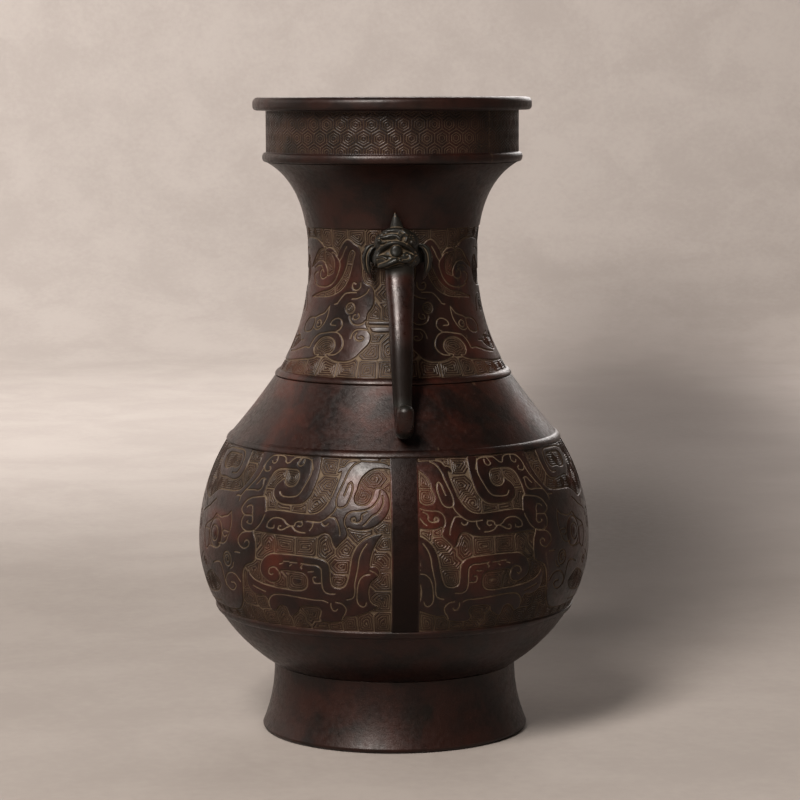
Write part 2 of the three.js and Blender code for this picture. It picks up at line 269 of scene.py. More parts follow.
BELLY_BODIES = {
    "plume": [
        (6, 189.5), (10, 191), (15, 192.5), (24, 193), (38, 193), (41, 192), (43.5, 189.8), (45.5, 189.6),
        (47.3, 188.5), (48, 186.3), (46.8, 185.8), (45.2, 186.5), (45.5, 183.5), (47, 178.5), (48.5, 174),
        (50, 170.5), (52.5, 166.5), (55.5, 163.3), (59, 161.2), (64, 160.3), (98.5, 160), (107, 154),
        (107, 147), (100, 146.5), (80, 146), (64, 146), (58, 147), (54.5, 148.5), (52, 149.2),
        (49.5, 148.5), (48, 146.5), (47, 143.5), (45.7, 141.2), (44.5, 140.2), (42.5, 142.3), (40, 144.8),
        (37.6, 147.3), (37, 149.5), (38, 152.3), (36.5, 153.3), (34, 152.3), (30, 151.9), (26, 152.1),
        (22, 153), (18, 155), (14.5, 158), (12, 161), (10.3, 164.5), (9.8, 168.5), (10.5, 172),
        (12.3, 175), (14.5, 176.8), (17, 177.4), (20.2, 176.7), (21, 174), (22.7, 170), (24.5, 168),
        (27, 167), (31, 167.5), (33, 169), (33.5, 172), (32, 176), (31, 180), (29.5, 183), (27, 185.5),
        (24, 187.5), (20, 188.7), (12, 188.5), (6, 188.2),
    ],
    "hook": [
        (62.5, 194.5), (61.3, 189), (61.3, 184), (62.3, 178.5), (64.3, 172.5), (67.5, 168.5), (71, 166.2),
        (76, 165.4), (85, 165.4), (89.5, 166.3), (93, 168.6), (95, 172), (94.8, 175), (93, 177.5),
        (90.8, 179), (89.3, 180.3), (88, 180), (87, 178), (84.5, 176.3), (80, 176.2), (77.5, 178),
        (76.2, 181), (76.8, 184.3), (79, 186.2), (84, 186.6), (92, 186.5), (96.5, 185.6), (99.5, 183.5),
        (101.3, 180), (102.5, 175.5), (103, 171), (103.5, 168.3), (112, 160), (126, 160), (135, 168.6),
        (130, 169.8), (126, 172.5), (121.5, 177.5), (118.5, 182.5), (117, 188), (116.5, 195.5),
        (100, 195), (90, 194.3), (80, 194.6), (70, 194.6),
    ],
    "face": [
        (98.5, 160.2), (99.3, 164), (101, 168.4), (125, 171), (131, 169.3), (136, 168.7), (150, 168),
        (158, 167.3), (163, 165.5), (168, 163), (173, 160.5), (180, 160.5), (190, 163), (198, 168),
        (203, 174), (205, 182), (206, 190), (207, 195), (211.5, 195), (211.5, 91), (190, 91), (160, 90.5),
        (140, 91), (130, 93), (124, 98), (121, 104), (119.5, 109), (118.3, 114), (117.3, 118.5),
        (115.5, 122), (112.5, 124.5), (108, 126.3), (105, 128.3), (104.5, 132), (104.6, 137.5),
        (105.3, 141.5), (107, 145), (107.5, 147), (100, 152),
    ],
    "horn": [
        (132, 194.5), (131, 189), (131.3, 183), (134, 178), (139, 175.8), (147, 175.5), (156, 176),
        (163, 175.5), (169, 177.5), (173.5, 181.5), (176, 187), (176, 191), (173, 194), (165, 194.8),
        (150, 195), (138, 195),
    ],
    "dragon": [
        (14.5, 149.8), (17.5, 145.5), (20.5, 139.5), (22, 134), (22.3, 129.5), (20, 129.5), (17.5, 128),
        (16.7, 125.5), (17.3, 123), (19.5, 121.5), (22, 119), (23.3, 115.5), (23.6, 111), (23, 107.3),
        (21, 104.8), (18.3, 103.7), (20, 101.7), (24.5, 99.3), (30, 97.2), (35, 95.8), (39.5, 95.7),
        (42, 93.2), (46, 91.8), (52, 91.3), (57, 91.8), (58.6, 93.5), (57.3, 96), (56.5, 99), (58, 101),
        (62, 101.6), (68, 101.3), (71.5, 100.2), (73, 97.5), (76.5, 95), (79.5, 93.4), (81.3, 93.6),
        (82, 96.5), (83, 99.5), (86, 100.3), (89, 99), (91.5, 96.5), (94, 95.3), (96.5, 96.8),
        (97.6, 100), (97.5, 103), (99.5, 105.6), (105, 105.2), (110.5, 107), (113.3, 110.5), (113.8, 115),
        (113, 119), (111.5, 121), (110.3, 118.5), (107, 115.7), (102, 114), (96, 112.8), (88, 112),
        (80, 111.6), (72, 111.2), (67.5, 112), (64.8, 114), (63.8, 117.5), (64.3, 121), (66.5, 123.3),
        (72, 123.7), (84.2, 123.2), (84.5, 119.3), (86.5, 116.6), (90, 115.4), (94.5, 116.2),
        (98.3, 118.3), (100.2, 122), (99.8, 126), (97, 130.3), (92, 133.3), (85, 134), (66, 134),
        (58, 133.5), (52.5, 132.5), (49.5, 130), (48.5, 126), (48.3, 120), (47.5, 116.5), (45, 115),
        (41, 115), (38.5, 116.5), (37, 119.5), (35.5, 125), (34.5, 131), (33.5, 136), (30.5, 142),
        (26, 146.3), (20, 149),
    ],
}
BELLY_POCKETS = {
    "horn": [
        (143, 190.5), (141, 188), (141, 184.5), (144, 182.7), (152, 182.5), (158, 181), (163, 181.5),
        (167, 184), (168.5, 187), (166, 189.8), (160, 190.8), (150, 191),
    ],
    "mouth": [
        (147.5, 107.5), (151.5, 110.5), (156.5, 113.5), (160.5, 114), (165.5, 112.8), (171.5, 110.5),
        (176.5, 108), (184, 106.3), (191, 106.8), (196, 109.5), (199.5, 113.5), (201.5, 109), (200.5, 103.5),
        (196.5, 99.5), (189, 97.6), (175, 98), (160, 100), (152, 103),
    ],
}
BELLY_LINES = [
    # Plume
    [(16.3, 175.5), (17, 172), (19, 168.5), (22, 165.7), (26, 164), (31, 163.3), (35.5, 162.7), (38, 161),
     (39.3, 158.3), (39.3, 155.5), (38.3, 153.3)],
    [(14.7, 172.5), (14.3, 169), (15.5, 165.5), (18, 162.3), (21.5, 160.3), (23.7, 158), (25.5, 155.8),
     (27, 154.8)],
    [(25, 162.8), (27.5, 161.5), (28.3, 160.5), (28.2, 158.3), (30, 156.6), (32.5, 156.4), (34.5, 157),
     (34.8, 158.8), (33, 159.5)],
    [(32.5, 192.6), (36, 191), (38.5, 188.5), (40.3, 185.5), (41.5, 182), (43, 178.5), (44.5, 175),
     (45.7, 171.5), (46.1, 168), (45, 165.5), (42.5, 165), (40, 165.8), (38.3, 167.5), (37, 170.5),
     (36, 173.5), (35.5, 176.5), (35.9, 179.3), (37.2, 180.4), (38.6, 179), (39.6, 176.2), (41, 172.5)],
    [(45.5, 165.2), (47, 162.5), (49.5, 160), (51.5, 158.3), (53.5, 157), (56.5, 155.8), (60, 155.7),
     (65, 156)],
    [(42, 148.5), (42.3, 151), (43, 153.5), (44.3, 156.5), (46, 158.8), (48.5, 159.2), (50.5, 158.7)],
    [(50.2, 155.3), (51.5, 154), (53.2, 154), (54.5, 155.3)],
    [(60.8, 156), (61, 153), (62.5, 150.8)],
    [(69.5, 155.3), (71.5, 155.3), (73.5, 154.3), (74.3, 152.5), (77, 152.2), (80, 151), (82.5, 149.7),
     (85, 149.3), (86.3, 150), (86, 151.5), (84.5, 151.7)],
    [(69, 155.8), (68.3, 153.8), (69.8, 152.5), (71.3, 152.8)],
    [(66, 148.7), (70, 148.9), (73, 149.8), (75, 151.5), (76, 152.1)],
    [(77.5, 152.2), (80, 153.5), (82, 155.2), (85, 156.3), (88, 156.5), (91.5, 156), (94, 154.5),
     (95.7, 152.3), (95.5, 150.3), (94, 149.7), (91.5, 149.8), (90, 150.3), (90, 151.5)],
    # Hook
    [(66.5, 187), (68, 190), (70, 192.5), (73, 193.5), (80, 193.6), (84, 193.3), (86.5, 191.5), (88.5, 190),
     (90.8, 190), (92.3, 192.2), (95, 193.6), (102, 193.7), (106, 193), (108.5, 191), (110.3, 188),
     (111, 185), (112.5, 181.5), (115, 178), (118, 174.8), (121.5, 171.5), (124, 169), (126, 166.5),
     (126.5, 163.5)],
    [(126, 166.5), (129, 166.8), (131, 166.5)],
    [(100.5, 193.3), (99.8, 191), (101, 189.3), (103.3, 189), (104.5, 190.2)],
    [(110.3, 187.5), (110, 185.5), (108.5, 184), (106, 183.8), (104, 184.5), (103.8, 186), (105, 186.5)],
    [(75.2, 192.3), (75.2, 190.5), (76.5, 189), (78.5, 188.7), (80, 189.7), (79.3, 191.5), (78, 193.3)],
    [(69.5, 193), (68, 189), (67.5, 185), (69, 180.5), (71, 176.5), (73, 173), (75.5, 170.8), (79, 170),
     (84, 169.7), (87.5, 170.3), (89.5, 172.5)],
    [(105.3, 178.8), (107.3, 179.4), (109.3, 178.8), (110.8, 177), (112.5, 175.4)],
    [(106.3, 178.3), (106, 175.5), (107, 173), (109.5, 171.6), (114, 171.6), (118.5, 171.2), (121.5, 170.8)],
    # Column between the hook and the face
    [(98.5, 159.5), (98.8, 163), (100, 166.5), (102, 168.3), (106, 168), (110, 167.4), (114, 166.6),
     (117.5, 165), (119.5, 163.3), (121, 161.3), (122, 159.5), (121, 157.5), (118.5, 155.8), (110.5, 156)],
    [(118, 155.5), (119.7, 153), (119.8, 150), (118.5, 147.5), (116.5, 146.3), (112, 145.6), (109, 146.3),
     (104.5, 148.8), (102, 151.5), (100.3, 154.5), (99, 157.5)],
    [(116.8, 160.6), (115.5, 161.6), (112.5, 162), (110.8, 160.5), (110.3, 157.5), (109.5, 154.5),
     (109.2, 152.3), (110, 151), (112.5, 150.6), (114.5, 151.5), (113.8, 152.4)],
    [(109, 146.3), (114, 145.5), (117.5, 144.5), (120, 142.8), (121.8, 140.5), (121.2, 137.3), (119, 135.4),
     (116, 134.6), (113, 135.3), (111, 137), (110.6, 138.9), (112, 140), (114.3, 139.8), (115, 138.6)],
    [(119.5, 131.2), (125, 131.2)],
    # Face
    [(133, 156), (131.5, 152), (131, 148), (132, 144), (134, 139.5), (136, 136.5), (139, 135), (145, 134.3)],
    [(133.5, 155.5), (137, 153), (141, 152), (145, 151), (149.5, 151.5), (152.6, 152), (157.6, 148),
     (163.6, 145.5), (168.6, 143.5), (171.6, 141), (172, 136), (170.6, 131), (168.6, 128), (165.6, 128),
     (161.6, 130.5), (153.6, 130.5), (147.6, 131), (143.6, 133)],
    [(133.6, 143), (140, 143), (140.6, 141), (139, 139.5), (135, 140.5)],
    [(161.6, 141), (171.6, 141)],
    [(161.6, 141), (161.6, 131)],
    [(126.5, 124), (128, 121), (131, 119.5)],
    [(139.5, 107), (140.5, 114), (142, 120), (144.5, 122), (148.5, 121.8), (154.5, 120)],
    [(121, 112), (125, 116), (129, 117), (134, 116), (138, 112.5), (139, 109), (137, 106), (133, 105),
     (129, 106.5), (127, 109), (129, 110.5), (132, 110.5)],
    [(158.5, 161), (163, 158.5), (168, 155.5), (173, 153.8), (178, 152), (181, 150.5)],
    [(174.5, 155), (176.5, 157.5), (179, 159)],
    [(183.5, 157), (190, 160)],
    [(174, 191.5), (168, 193), (155, 193.6), (143, 193.4), (139.3, 191.5), (137.3, 188), (137.2, 184.5),
     (138.5, 181.3), (141, 179.5), (146, 179.2)],
    # Lower dragon
    [(22.5, 124.5), (25.5, 124), (28.5, 121.5), (30.3, 117), (31, 112), (31.3, 108), (30.5, 104.8),
     (28, 103.1), (26, 104), (25.3, 106)],
    [(17.5, 123.5), (19.5, 125.5), (22.5, 127)],
    [(24.5, 143.5), (27.5, 139), (29.3, 134), (30, 129), (31, 124), (32.3, 118), (32.5, 113), (33.5, 109.5),
     (36, 108), (38, 107.6)],
    [(45.5, 111), (49.5, 111), (52, 111.8), (53.5, 114), (54, 118), (54, 123), (54.5, 127), (57, 128.7),
     (62, 128.9), (68, 129.4)],
    [(55, 117.5), (59, 117.7), (60, 119.5), (59.5, 121.3), (57.8, 121.3)],
    [(59.5, 124.8), (63, 124.5)],
    [(67, 128.6), (68.3, 127), (67.5, 126.3)],
    [(71, 129.5), (76, 129.6)],
    [(75, 128.3), (76.3, 127.3)],
    [(77, 130), (81, 129.8)],
    [(81.5, 128.6), (84, 127.8)],
    [(51, 105), (54, 106.2), (60, 106.2), (68, 106.8), (75, 107.4), (85, 107.8), (91, 107), (94, 105.3),
     (96, 103), (97, 100), (97, 98.3)],
    [(45.5, 105.5), (42, 104.9), (39.8, 103), (39, 100.8), (40, 98), (41.5, 96), (42.5, 94)],
    [(49, 104.5), (49, 102), (48, 100), (46, 99.8), (44.8, 101)],
    [(98, 108.3), (104, 110), (108.5, 111.3)],
    [(84.7, 121.5), (85.3, 123.5), (87.5, 125.2), (90, 125.2), (92.5, 123.8), (93, 121.3), (91.3, 120.2),
     (89.8, 121)],
    # Round eyes and curls, drawn by formula
    ring(33.3, 158, 1.1),
    ring(151, 140, 9.5),
    ring(151, 140, 5),
    ring(134, 125.5, 4.6),
    spiral(134, 125.5, 3.2, 1.2),
    # Nose, brow and cheek at the middle of the face, which the photograph doesn't show
    [(182, 146), (187, 149), (193, 149.5), (198, 146.5), (200, 141), (199, 134), (196, 127), (194, 120)],
    spiral(190, 141, 5.2, 1.6, math.pi / 2),
    [(211, 172), (205.5, 166), (203.5, 158), (205, 150), (208, 143), (209, 134)],
    spiral(203.5, 117, 5.4, 1.7, math.pi),
    [(176, 124), (181, 121), (187, 118), (193, 112.5)],
    spiral(172, 118, 3.4, 1.3),
    [(158, 94), (170, 92.8), (190, 93), (211, 93.5)],
]
BELLY_DOMES = [(151, 140, 8.6, 1.0), (151, 140, 2.8, 0.5), (134, 125.5, 2.0, 0.3)]

# Ornament of the neck. Across runs from the handle to the middle of the face on the jar's front

NECK_BODIES = {
    "beast": [
        (31, 251.5), (27, 253.4), (23.5, 257), (21.5, 259.2), (19, 262), (17.6, 265.5), (18, 268.8),
        (19.3, 271.3), (20.5, 273), (21.5, 275), (21.2, 278), (20.5, 282), (18.7, 284.3), (17.2, 287),
        (16.5, 291), (17, 296), (19.5, 299.7), (23, 301), (25.3, 304.5), (26, 311), (27, 317), (27, 321),
        (28.5, 324.5), (32, 326.5), (34.5, 328.4), (37.5, 328.8), (40.5, 327), (43.3, 324), (45.5, 321),
        (46.8, 318.3), (48.7, 320.8), (52, 322.7), (56, 323.1), (59.8, 321.4), (57, 320.6), (54, 320),
        (51.5, 318), (50, 315.3), (49.6, 312), (50, 309), (51, 307), (53.5, 305.8), (57.3, 305), (57, 307.5),
        (57.8, 310), (60, 312.7), (64, 314.4), (69, 314), (74, 311.7), (79, 309.8), (77.5, 312), (73, 316),
        (70, 319), (66, 321.7), (61, 322.5), (60.5, 323.3), (64, 325.8), (69, 328.1), (76, 328.8),
        (85, 328.5), (92, 327), (98, 324), (104.5, 320), (104.5, 249), (94, 248.5), (84, 248.7),
        (74, 249.8), (66, 251), (59, 251.8), (55.5, 252.8), (53, 254.8), (56, 254.8), (58, 257),
        (58.2, 260), (56.3, 263.3), (53, 265.6), (49, 266.3), (45, 265.6), (42.3, 263.5), (41.3, 260.7),
        (42, 258), (44, 256), (47, 255.2), (44.5, 253.5), (41, 252), (36, 251.2),
    ],
    "upper_bar": [
        (4, 270.2), (4, 270.2), (17, 270.2), (18.5, 271.8), (19.6, 273.5), (19.6, 273.5), (4, 273.5),
        (4, 273.5),
    ],
    "lower_bar": [
        (4, 274.6), (4, 274.6), (20, 274.6), (20, 274.6), (20.3, 277.1), (20.3, 277.1), (4, 277.1),
        (4, 277.1),
    ],
}
NECK_POCKETS = {
    "strip": [
        (31.5, 320.5), (33, 315.5), (34.8, 309), (37, 303), (40, 298.7), (44, 295.4), (50, 292.7),
        (57, 291.4), (66, 290.9), (75, 290.6), (69, 292.5), (62, 294.3), (56, 295.2), (50, 297.6),
        (45.5, 301), (41.5, 306), (39, 311), (37.3, 317), (35.5, 321.3), (33.5, 322.5),
    ],
    "dot": ring(34, 285, 3.6)[:-1],
    "brow": [(84, 316), (82, 309), (84, 302), (90, 298), (98, 297), (104.8, 298), (104.8, 306), (98, 309),
             (92, 313), (88, 317)],
    "mouth": [(78, 262), (82, 258.6), (88, 256.2), (94, 255.6), (97.6, 258.4), (98.4, 263), (96.4, 266.4),
              (93.4, 263.6), (88, 263.8), (82, 265)],
}
NECK_LINES = [
    [(52, 285.5), (52.2, 282), (53, 278), (54.8, 274.5), (57.3, 271.5), (60, 270.2), (63, 270.3),
     (65.5, 271.5)],
    [(52, 285.5), (54, 283), (56, 281), (59, 279.8), (62, 278.9), (66, 277.5), (70, 277.3), (73.5, 276.3),
     (76, 274.3), (77.5, 271.8), (76.5, 269), (74, 268), (70, 268.2), (67, 269.3), (65.5, 271.2),
     (64.8, 274), (65, 276), (66, 277.5)],
    [(62.3, 275.2), (59.5, 276.3), (57.5, 274.8), (57.8, 272.8), (60, 271.8), (62, 272.5), (62.3, 274.2),
     (60.3, 274.2)],
    [(42.3, 269.9), (40, 271.5), (38.8, 274), (39.5, 276.6), (42, 278.1), (45.5, 277.6), (48, 275.8),
     (48.2, 273.8), (46, 273.6), (44.2, 273.5)],
    [(44.5, 255), (40.5, 255.3), (37.5, 257.3), (35.7, 260.5), (36.2, 264), (38.3, 267), (41.5, 269),
     (46, 269.2), (52, 268.3), (57, 267.3), (60, 265), (62, 261.5), (63, 258.5), (64.5, 258.3), (68, 258.5),
     (72, 257.4), (80, 255.2), (88, 254.2)],
    [(25.3, 266.8), (23.8, 267.2), (22.6, 266.2), (23.3, 264.9), (25.5, 264.5), (27.6, 265.6), (28.3, 267.8),
     (27.3, 269.5)],
    [(18, 268.8), (20, 271), (24, 271.7), (28.5, 271), (30.5, 268.8), (31, 266)],
    [(22, 277), (24.5, 275), (28, 274.3), (31, 275.2), (33, 277.5), (33.8, 280)],
    [(20.5, 297.5), (22, 295), (25, 293), (29, 291.3), (33, 290.8)],
    [(30, 295), (35, 294.8), (38.5, 294.2), (41, 292.3), (43.5, 289.5), (45.3, 287.5), (47.5, 287)],
    [(26.8, 301.5), (27, 298.5), (29.2, 296.6), (32, 296.9), (33.3, 299.3), (32.3, 301.3), (30.3, 300.6)],
    [(27.3, 281.5), (26.8, 279.5), (28.5, 278), (31, 278.3), (31, 280.3), (29.5, 281)],
    [(38, 324.5), (40.5, 321), (42.5, 317.5), (44.7, 314.8)],
    [(52, 320.3), (49.5, 319.8), (47, 317.5), (44.7, 314.8), (44.3, 311.5), (45.8, 307.5), (48.3, 303),
     (52, 299.7), (56.5, 298), (62, 297.5), (68, 298), (72, 299.3)],
    [(58, 304.3), (61.5, 302.9), (64.5, 303.4), (65.8, 305.7), (64.6, 308), (62.3, 308.7), (61, 307.3)],
    [(62.3, 308.7), (64, 311), (68, 311.2), (73, 309.5)],
    [(68.5, 307), (72, 306.3), (74, 304.3), (72.8, 301.3), (70, 300.3)],
    [(73, 262.5), (79, 262.3), (83, 265), (90, 267)],
    # Brow and nose at the middle of the face, which the photograph doesn't show
    spiral(93, 284, 4.6, 1.6, math.pi / 2),
    [(82, 281), (86, 290), (92, 292.5), (98, 291), (101, 285), (101, 277), (98, 272)],
    [(84, 322), (92, 321.5), (99, 318), (104, 313)],
]
NECK_DOMES = [(60, 274, 3.0, 0.4)]


def spiral_middles(points, room):
    """Middles of the ground's spirals, roomiest places first, each packed close to those before it."""
    room = np.minimum(room, THUNDER_CELL / 2)
    spacing = np.maximum(2 * room, THUNDER_CELL * CLOSEST_CELLS)
    span = np.full(len(points), FAR)
    middles = []
    while True:
        allowed = span >= spacing
        if not allowed.any() or room[allowed].max() < LEAST_ROOM:
            return np.array(middles)
        roomy = allowed & (room > room[allowed].max() - 0.25)
        chosen = points[np.argmin(np.where(roomy, span, np.inf))]
        middles.append(chosen)
        span = np.minimum(span, np.abs(points - chosen).max(-1))


def thunder_ground(across, levels, edge, is_open):
    """Ridges of the thunder ground: squared spirals that fill the open ground cell by cell.

    edge is each grid point's distance to the nearest border, and the result is the share of a
    ridge's height at each grid point.
    """
    step = 3
    grid_across, grid_up = np.meshgrid(across, levels)
    coarse = is_open[::step, ::step]
    points = np.stack([grid_across[::step, ::step][coarse], grid_up[::step, ::step][coarse]], -1)
    sites = spiral_middles(points, edge[::step, ::step][coarse])
    ridges = np.zeros(grid_across.shape)
    owners = np.zeros(grid_across.shape, int)
    depth = np.zeros(grid_across.shape)
    for row, up in enumerate(levels):
        here = np.stack([across, np.full(len(across), up)], -1)
        spans = np.abs(here[:, None] - sites).max(-1)
        owners[row] = spans.argmin(1)
        spans.sort(axis=1)
        depth[row] = np.minimum(edge[row], (spans[:, 1] - spans[:, 0]) / 2)
    for index in range(len(sites)):
        mine = is_open & (owners == index)
        if not mine.any():
            continue
        deepest = np.argmax(np.where(mine, depth, -1))
        middle = grid_across.flat[deepest], grid_up.flat[deepest]
        turn = np.arctan2(grid_up[mine] - middle[1], grid_across[mine] - middle[0]) / (2 * np.pi)
        hand = 1 if index % 2 else -1
        phase = depth[mine] / THUNDER_PITCH + hand * turn
        ridges[mine] = (0.5 - 0.5 * np.cos(2 * np.pi * phase)) ** RIDGE_POWER
    return ridges * smooth_step(0.05, 0.45, depth)


class Ornament:
    """The relief of one quarter of a band, which is mirrored and repeated round the jar."""

    def __init__(self, across, levels, bodies, pockets, lines, domes):
        self.across = across
        self.levels = levels
        limits = (across[0] + 0.05, across[-1] - 0.05)
        body_loops = [smooth_line(loop, closed=True) for loop in bodies.values()]
        pocket_loops = [smooth_line(loop, closed=True) for loop in pockets.values()]
        self.is_body = inside_grid(body_loops, across, levels) & ~inside_grid(pocket_loops, across, levels)
        edge = outline_samples(body_loops, pocket_loops, limits)
        self.body_edge = grid_distances(edge, across, levels)
        drawn = np.vstack([smooth_line(line) for line in lines])
        self.line = grid_distances(drawn, across, levels)
        self.domes = domes

    def relief(self, panel_edge, strap_edge):
        """Height and dust at each grid point, from its distances to the panel's frame and to the strap."""
        is_open = ~self.is_body & (panel_edge > 0)
        edge = np.minimum(self.body_edge, np.maximum(panel_edge, 0))
        ridges = thunder_ground(self.across, self.levels, edge, is_open)
        ridges *= smooth_step(0.25, 0.7, edge)
        ground = GROUND_BOTTOM + RIDGE_HEIGHT * ridges
        body = GROUND_BOTTOM + (BODY_EDGE - GROUND_BOTTOM) * smooth_step(0, BODY_SLOPE, self.body_edge)
        body += BODY_CROWN * (1 - np.exp(-self.body_edge / CROWN_REACH))
        carved = 1 - smooth_step(*LINE_EDGE, self.line)
        body -= LINE_DEPTH * carved
        grid_across, grid_up = np.meshgrid(self.across, self.levels)
        for across, up, radius, height in self.domes:
            span = np.hypot(grid_across - across, grid_up - up) / radius
            body += height * np.sqrt(np.maximum(1 - span**2, 0))
        height = np.where(self.is_body, body, ground)
        body_dust = np.maximum(carved, 0.9 * (1 - smooth_step(0.1, 0.5, self.body_edge)))
        ground_dust = 0.08 + 0.77 * (1 - ridges) ** 2
        dust = np.where(self.is_body, body_dust, ground_dust)
        dust = dust + 0.4 * np.exp(-np.maximum(strap_edge, 0) / 2.0) * ~self.is_body
        blend = smooth_step(0, 0.7, panel_edge)
        dust = dust * blend - 0.8 * smooth_step(0, 1.0, -strap_edge)
        return height * blend, dust


def quarter_across(columns, radius):
    """Places of a quarter's columns, from the ornament's mirror axis on."""
    start = AXIS_SHIFT_COLUMNS * 2 * math.pi / columns * radius
    return start + np.arange(columns // 4 + 1) * 2 * math.pi / columns * radius


def border_distance(levels):
    return np.minimum(levels - levels[0], levels[-1] - levels)[:, None]


def wrap_quarters(left, right, shift):
    """Lays the quarter's two variants round the circle, mirrored about an axis turned back by shift."""
    quarter = left.shape[1] - 1
    columns = np.arange(4 * quarter)
    place = (columns + shift) % (2 * quarter)
    is_right = place <= quarter
    index = np.where(is_right, place, 2 * quarter - place)
    return np.where(is_right, right[:, index], left[:, index])


# Outlines of revolution


def resample(points, step):
    points = np.array(points, float)
    along = lengths_along(points)
    count = max(int(math.ceil(along[-1] / step)), 1)
    wanted = np.linspace(0, along[-1], count + 1)
    return np.stack([np.interp(wanted, along, points[:, axis]) for axis in (0, 1)], -1)


def soften_ends(points, corner, support):
    """Takes the corners off a run's two ends and adds a close row beside each, for crisp shading."""
    along = lengths_along(points)
    total = along[-1]
    corner = min(corner, total * 0.2)
    support = min(corner + support, total * 0.4)
    inner = along[(along > support + 0.1) & (along < total - support - 0.1)]
    wanted = np.concatenate([[corner, support], inner, [total - support, total - corner]])
    return np.stack([np.interp(wanted, along, points[:, axis]) for axis in (0, 1)], -1)


def straights(names, corners):
    """Straight runs from corner to corner, one for each name."""
    return [(name, [a, b], STRAIGHT_STEP) for name, a, b in zip(names.split(), corners, corners[1:])]


def closed_outline(runs, corner=0.22, support=0.3):
    """Joins runs (name, points, step) to one closed outline. Returns its rows and each run's row numbers."""
    rows, places = [], {}
    for name, points, step in runs:
        run = soften_ends(resample(points, step), corner, support) if step else np.array(points, float)
        places[name] = np.arange(len(rows), len(rows) + len(run))
        rows.extend(run)
    return np.array(rows), places


def outline_normals(rows):
    along = np.roll(rows, -1, axis=0) - np.roll(rows, 1, axis=0)
    along /= np.linalg.norm(along, axis=1)[:, None]
    return np.stack([along[:, 1], -along[:, 0]], -1)


def stretch(radius_at, low, high, count=60):
    levels = np.linspace(low, high, count + 1)
    return np.stack([radius_at(levels), levels], -1)


def rib(radius_at, band, proud, facets=12):
    low, height = band
    turns = np.linspace(0, np.pi, facets + 1)
    levels = low + height * (1 - np.cos(turns)) / 2
    return np.stack([radius_at(levels) + proud * np.sin(turns) ** 0.8, levels], -1)


def inner_wall(outline, wall):
    along = headings(outline)
    return outline + wall * np.stack([-along[:, 1], along[:, 0]], -1)


def arc(centre, radius, start, end, count=8):
    turns = np.linspace(start, end, count + 1)
    return np.stack([centre[0] + radius * np.cos(turns), centre[1] + radius * np.sin(turns)], -1)


# Meshes


def grid_mesh(name, points, dust=None, shares=None, wraps_rows=False):
    """A mesh on a grid of points whose columns close to a ring. shares is each row's place in the unwrap."""
    rows, columns = points.shape[:2]
    dust = np.zeros((rows, columns)) if dust is None else dust
    shares = np.linspace(0, 1, rows) if shares is None else shares
    row_count = rows if wraps_rows else rows - 1
    row = np.arange(row_count)[:, None]
    column = np.arange(columns)[None, :]
    next_row = (row + 1) % rows
    next_column = (column + 1) % columns
    corners = [row * columns + column, row * columns + next_column,
               next_row * columns + next_column, next_row * columns + column]
    faces = np.stack([np.broadcast_to(c, (row_count, columns)) for c in corners], -1)
    u = np.arange(columns + 1) / columns
    unwrap = np.zeros((row_count, columns, 4, 2), np.float32)
    unwrap[..., 0, 0] = unwrap[..., 3, 0] = u[:-1]
    unwrap[..., 1, 0] = unwrap[..., 2, 0] = u[1:]
    unwrap[..., 0, 1] = unwrap[..., 1, 1] = shares[:row_count, None]
    unwrap[..., 2, 1] = unwrap[..., 3, 1] = shares[1 : row_count + 1, None]
    mesh = bpy.data.meshes.new(name)
    mesh.vertices.add(rows * columns)
    mesh.vertices.foreach_set("co", (points * MILLIMETRE).astype(np.float32).ravel())
    mesh.loops.add(faces.size)
    mesh.loops.foreach_set("vertex_index", faces.astype(np.int32).ravel())
    mesh.polygons.add(row_count * columns)
    mesh.polygons.foreach_set("loop_start", np.arange(0, faces.size, 4, dtype=np.int32))
    mesh.update(calc_edges=True)
    mesh.shade_smooth()
    mesh.uv_layers.new(name="OFBake").data.foreach_set("uv", unwrap.ravel())
    mesh.attributes.new("dust", "FLOAT", "POINT").data.foreach_set("value", dust.astype(np.float32).ravel())
    return mesh


def add_piece(mesh, material, node):
    mesh.materials.append(material)
    piece = bpy.data.objects.new(mesh.name, mesh)
    bpy.context.scene.collection.objects.link(piece)
    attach(piece, "root")
    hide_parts(node)
    return piece


def revolved(radius, level, turn):
    return np.stack([radius * np.cos(turn), radius * np.sin(turn), level + 0 * turn], -1)


def turned_mesh(name, rows, places, columns, relief, inner_names, twist=0.0):
    """A ring of revolution with relief (run name -> height, dust) laid on some runs."""
    normals = outline_normals(rows)
    height = np.zeros((len(rows), columns))
    dust = np.zeros((len(rows), columns))
    for run, (run_height, run_dust) in relief.items():
        height[places[run]] = run_height
        dust[places[run]] = run_dust
    radius = rows[:, :1] + height * normals[:, :1]
    level = rows[:, 1:] + height * normals[:, 1:]
    points = revolved(radius, level, full_turn(columns) + twist)
    spans = np.linalg.norm(np.roll(rows, -1, axis=0) - rows, axis=1)
    for run in inner_names:
        spans[places[run]] *= INNER_UNWRAP
    shares = np.concatenate([[0], np.cumsum(spans)]) / spans.sum()
    return grid_mesh(name, points, dust, shares, wraps_rows=True)


# Materials


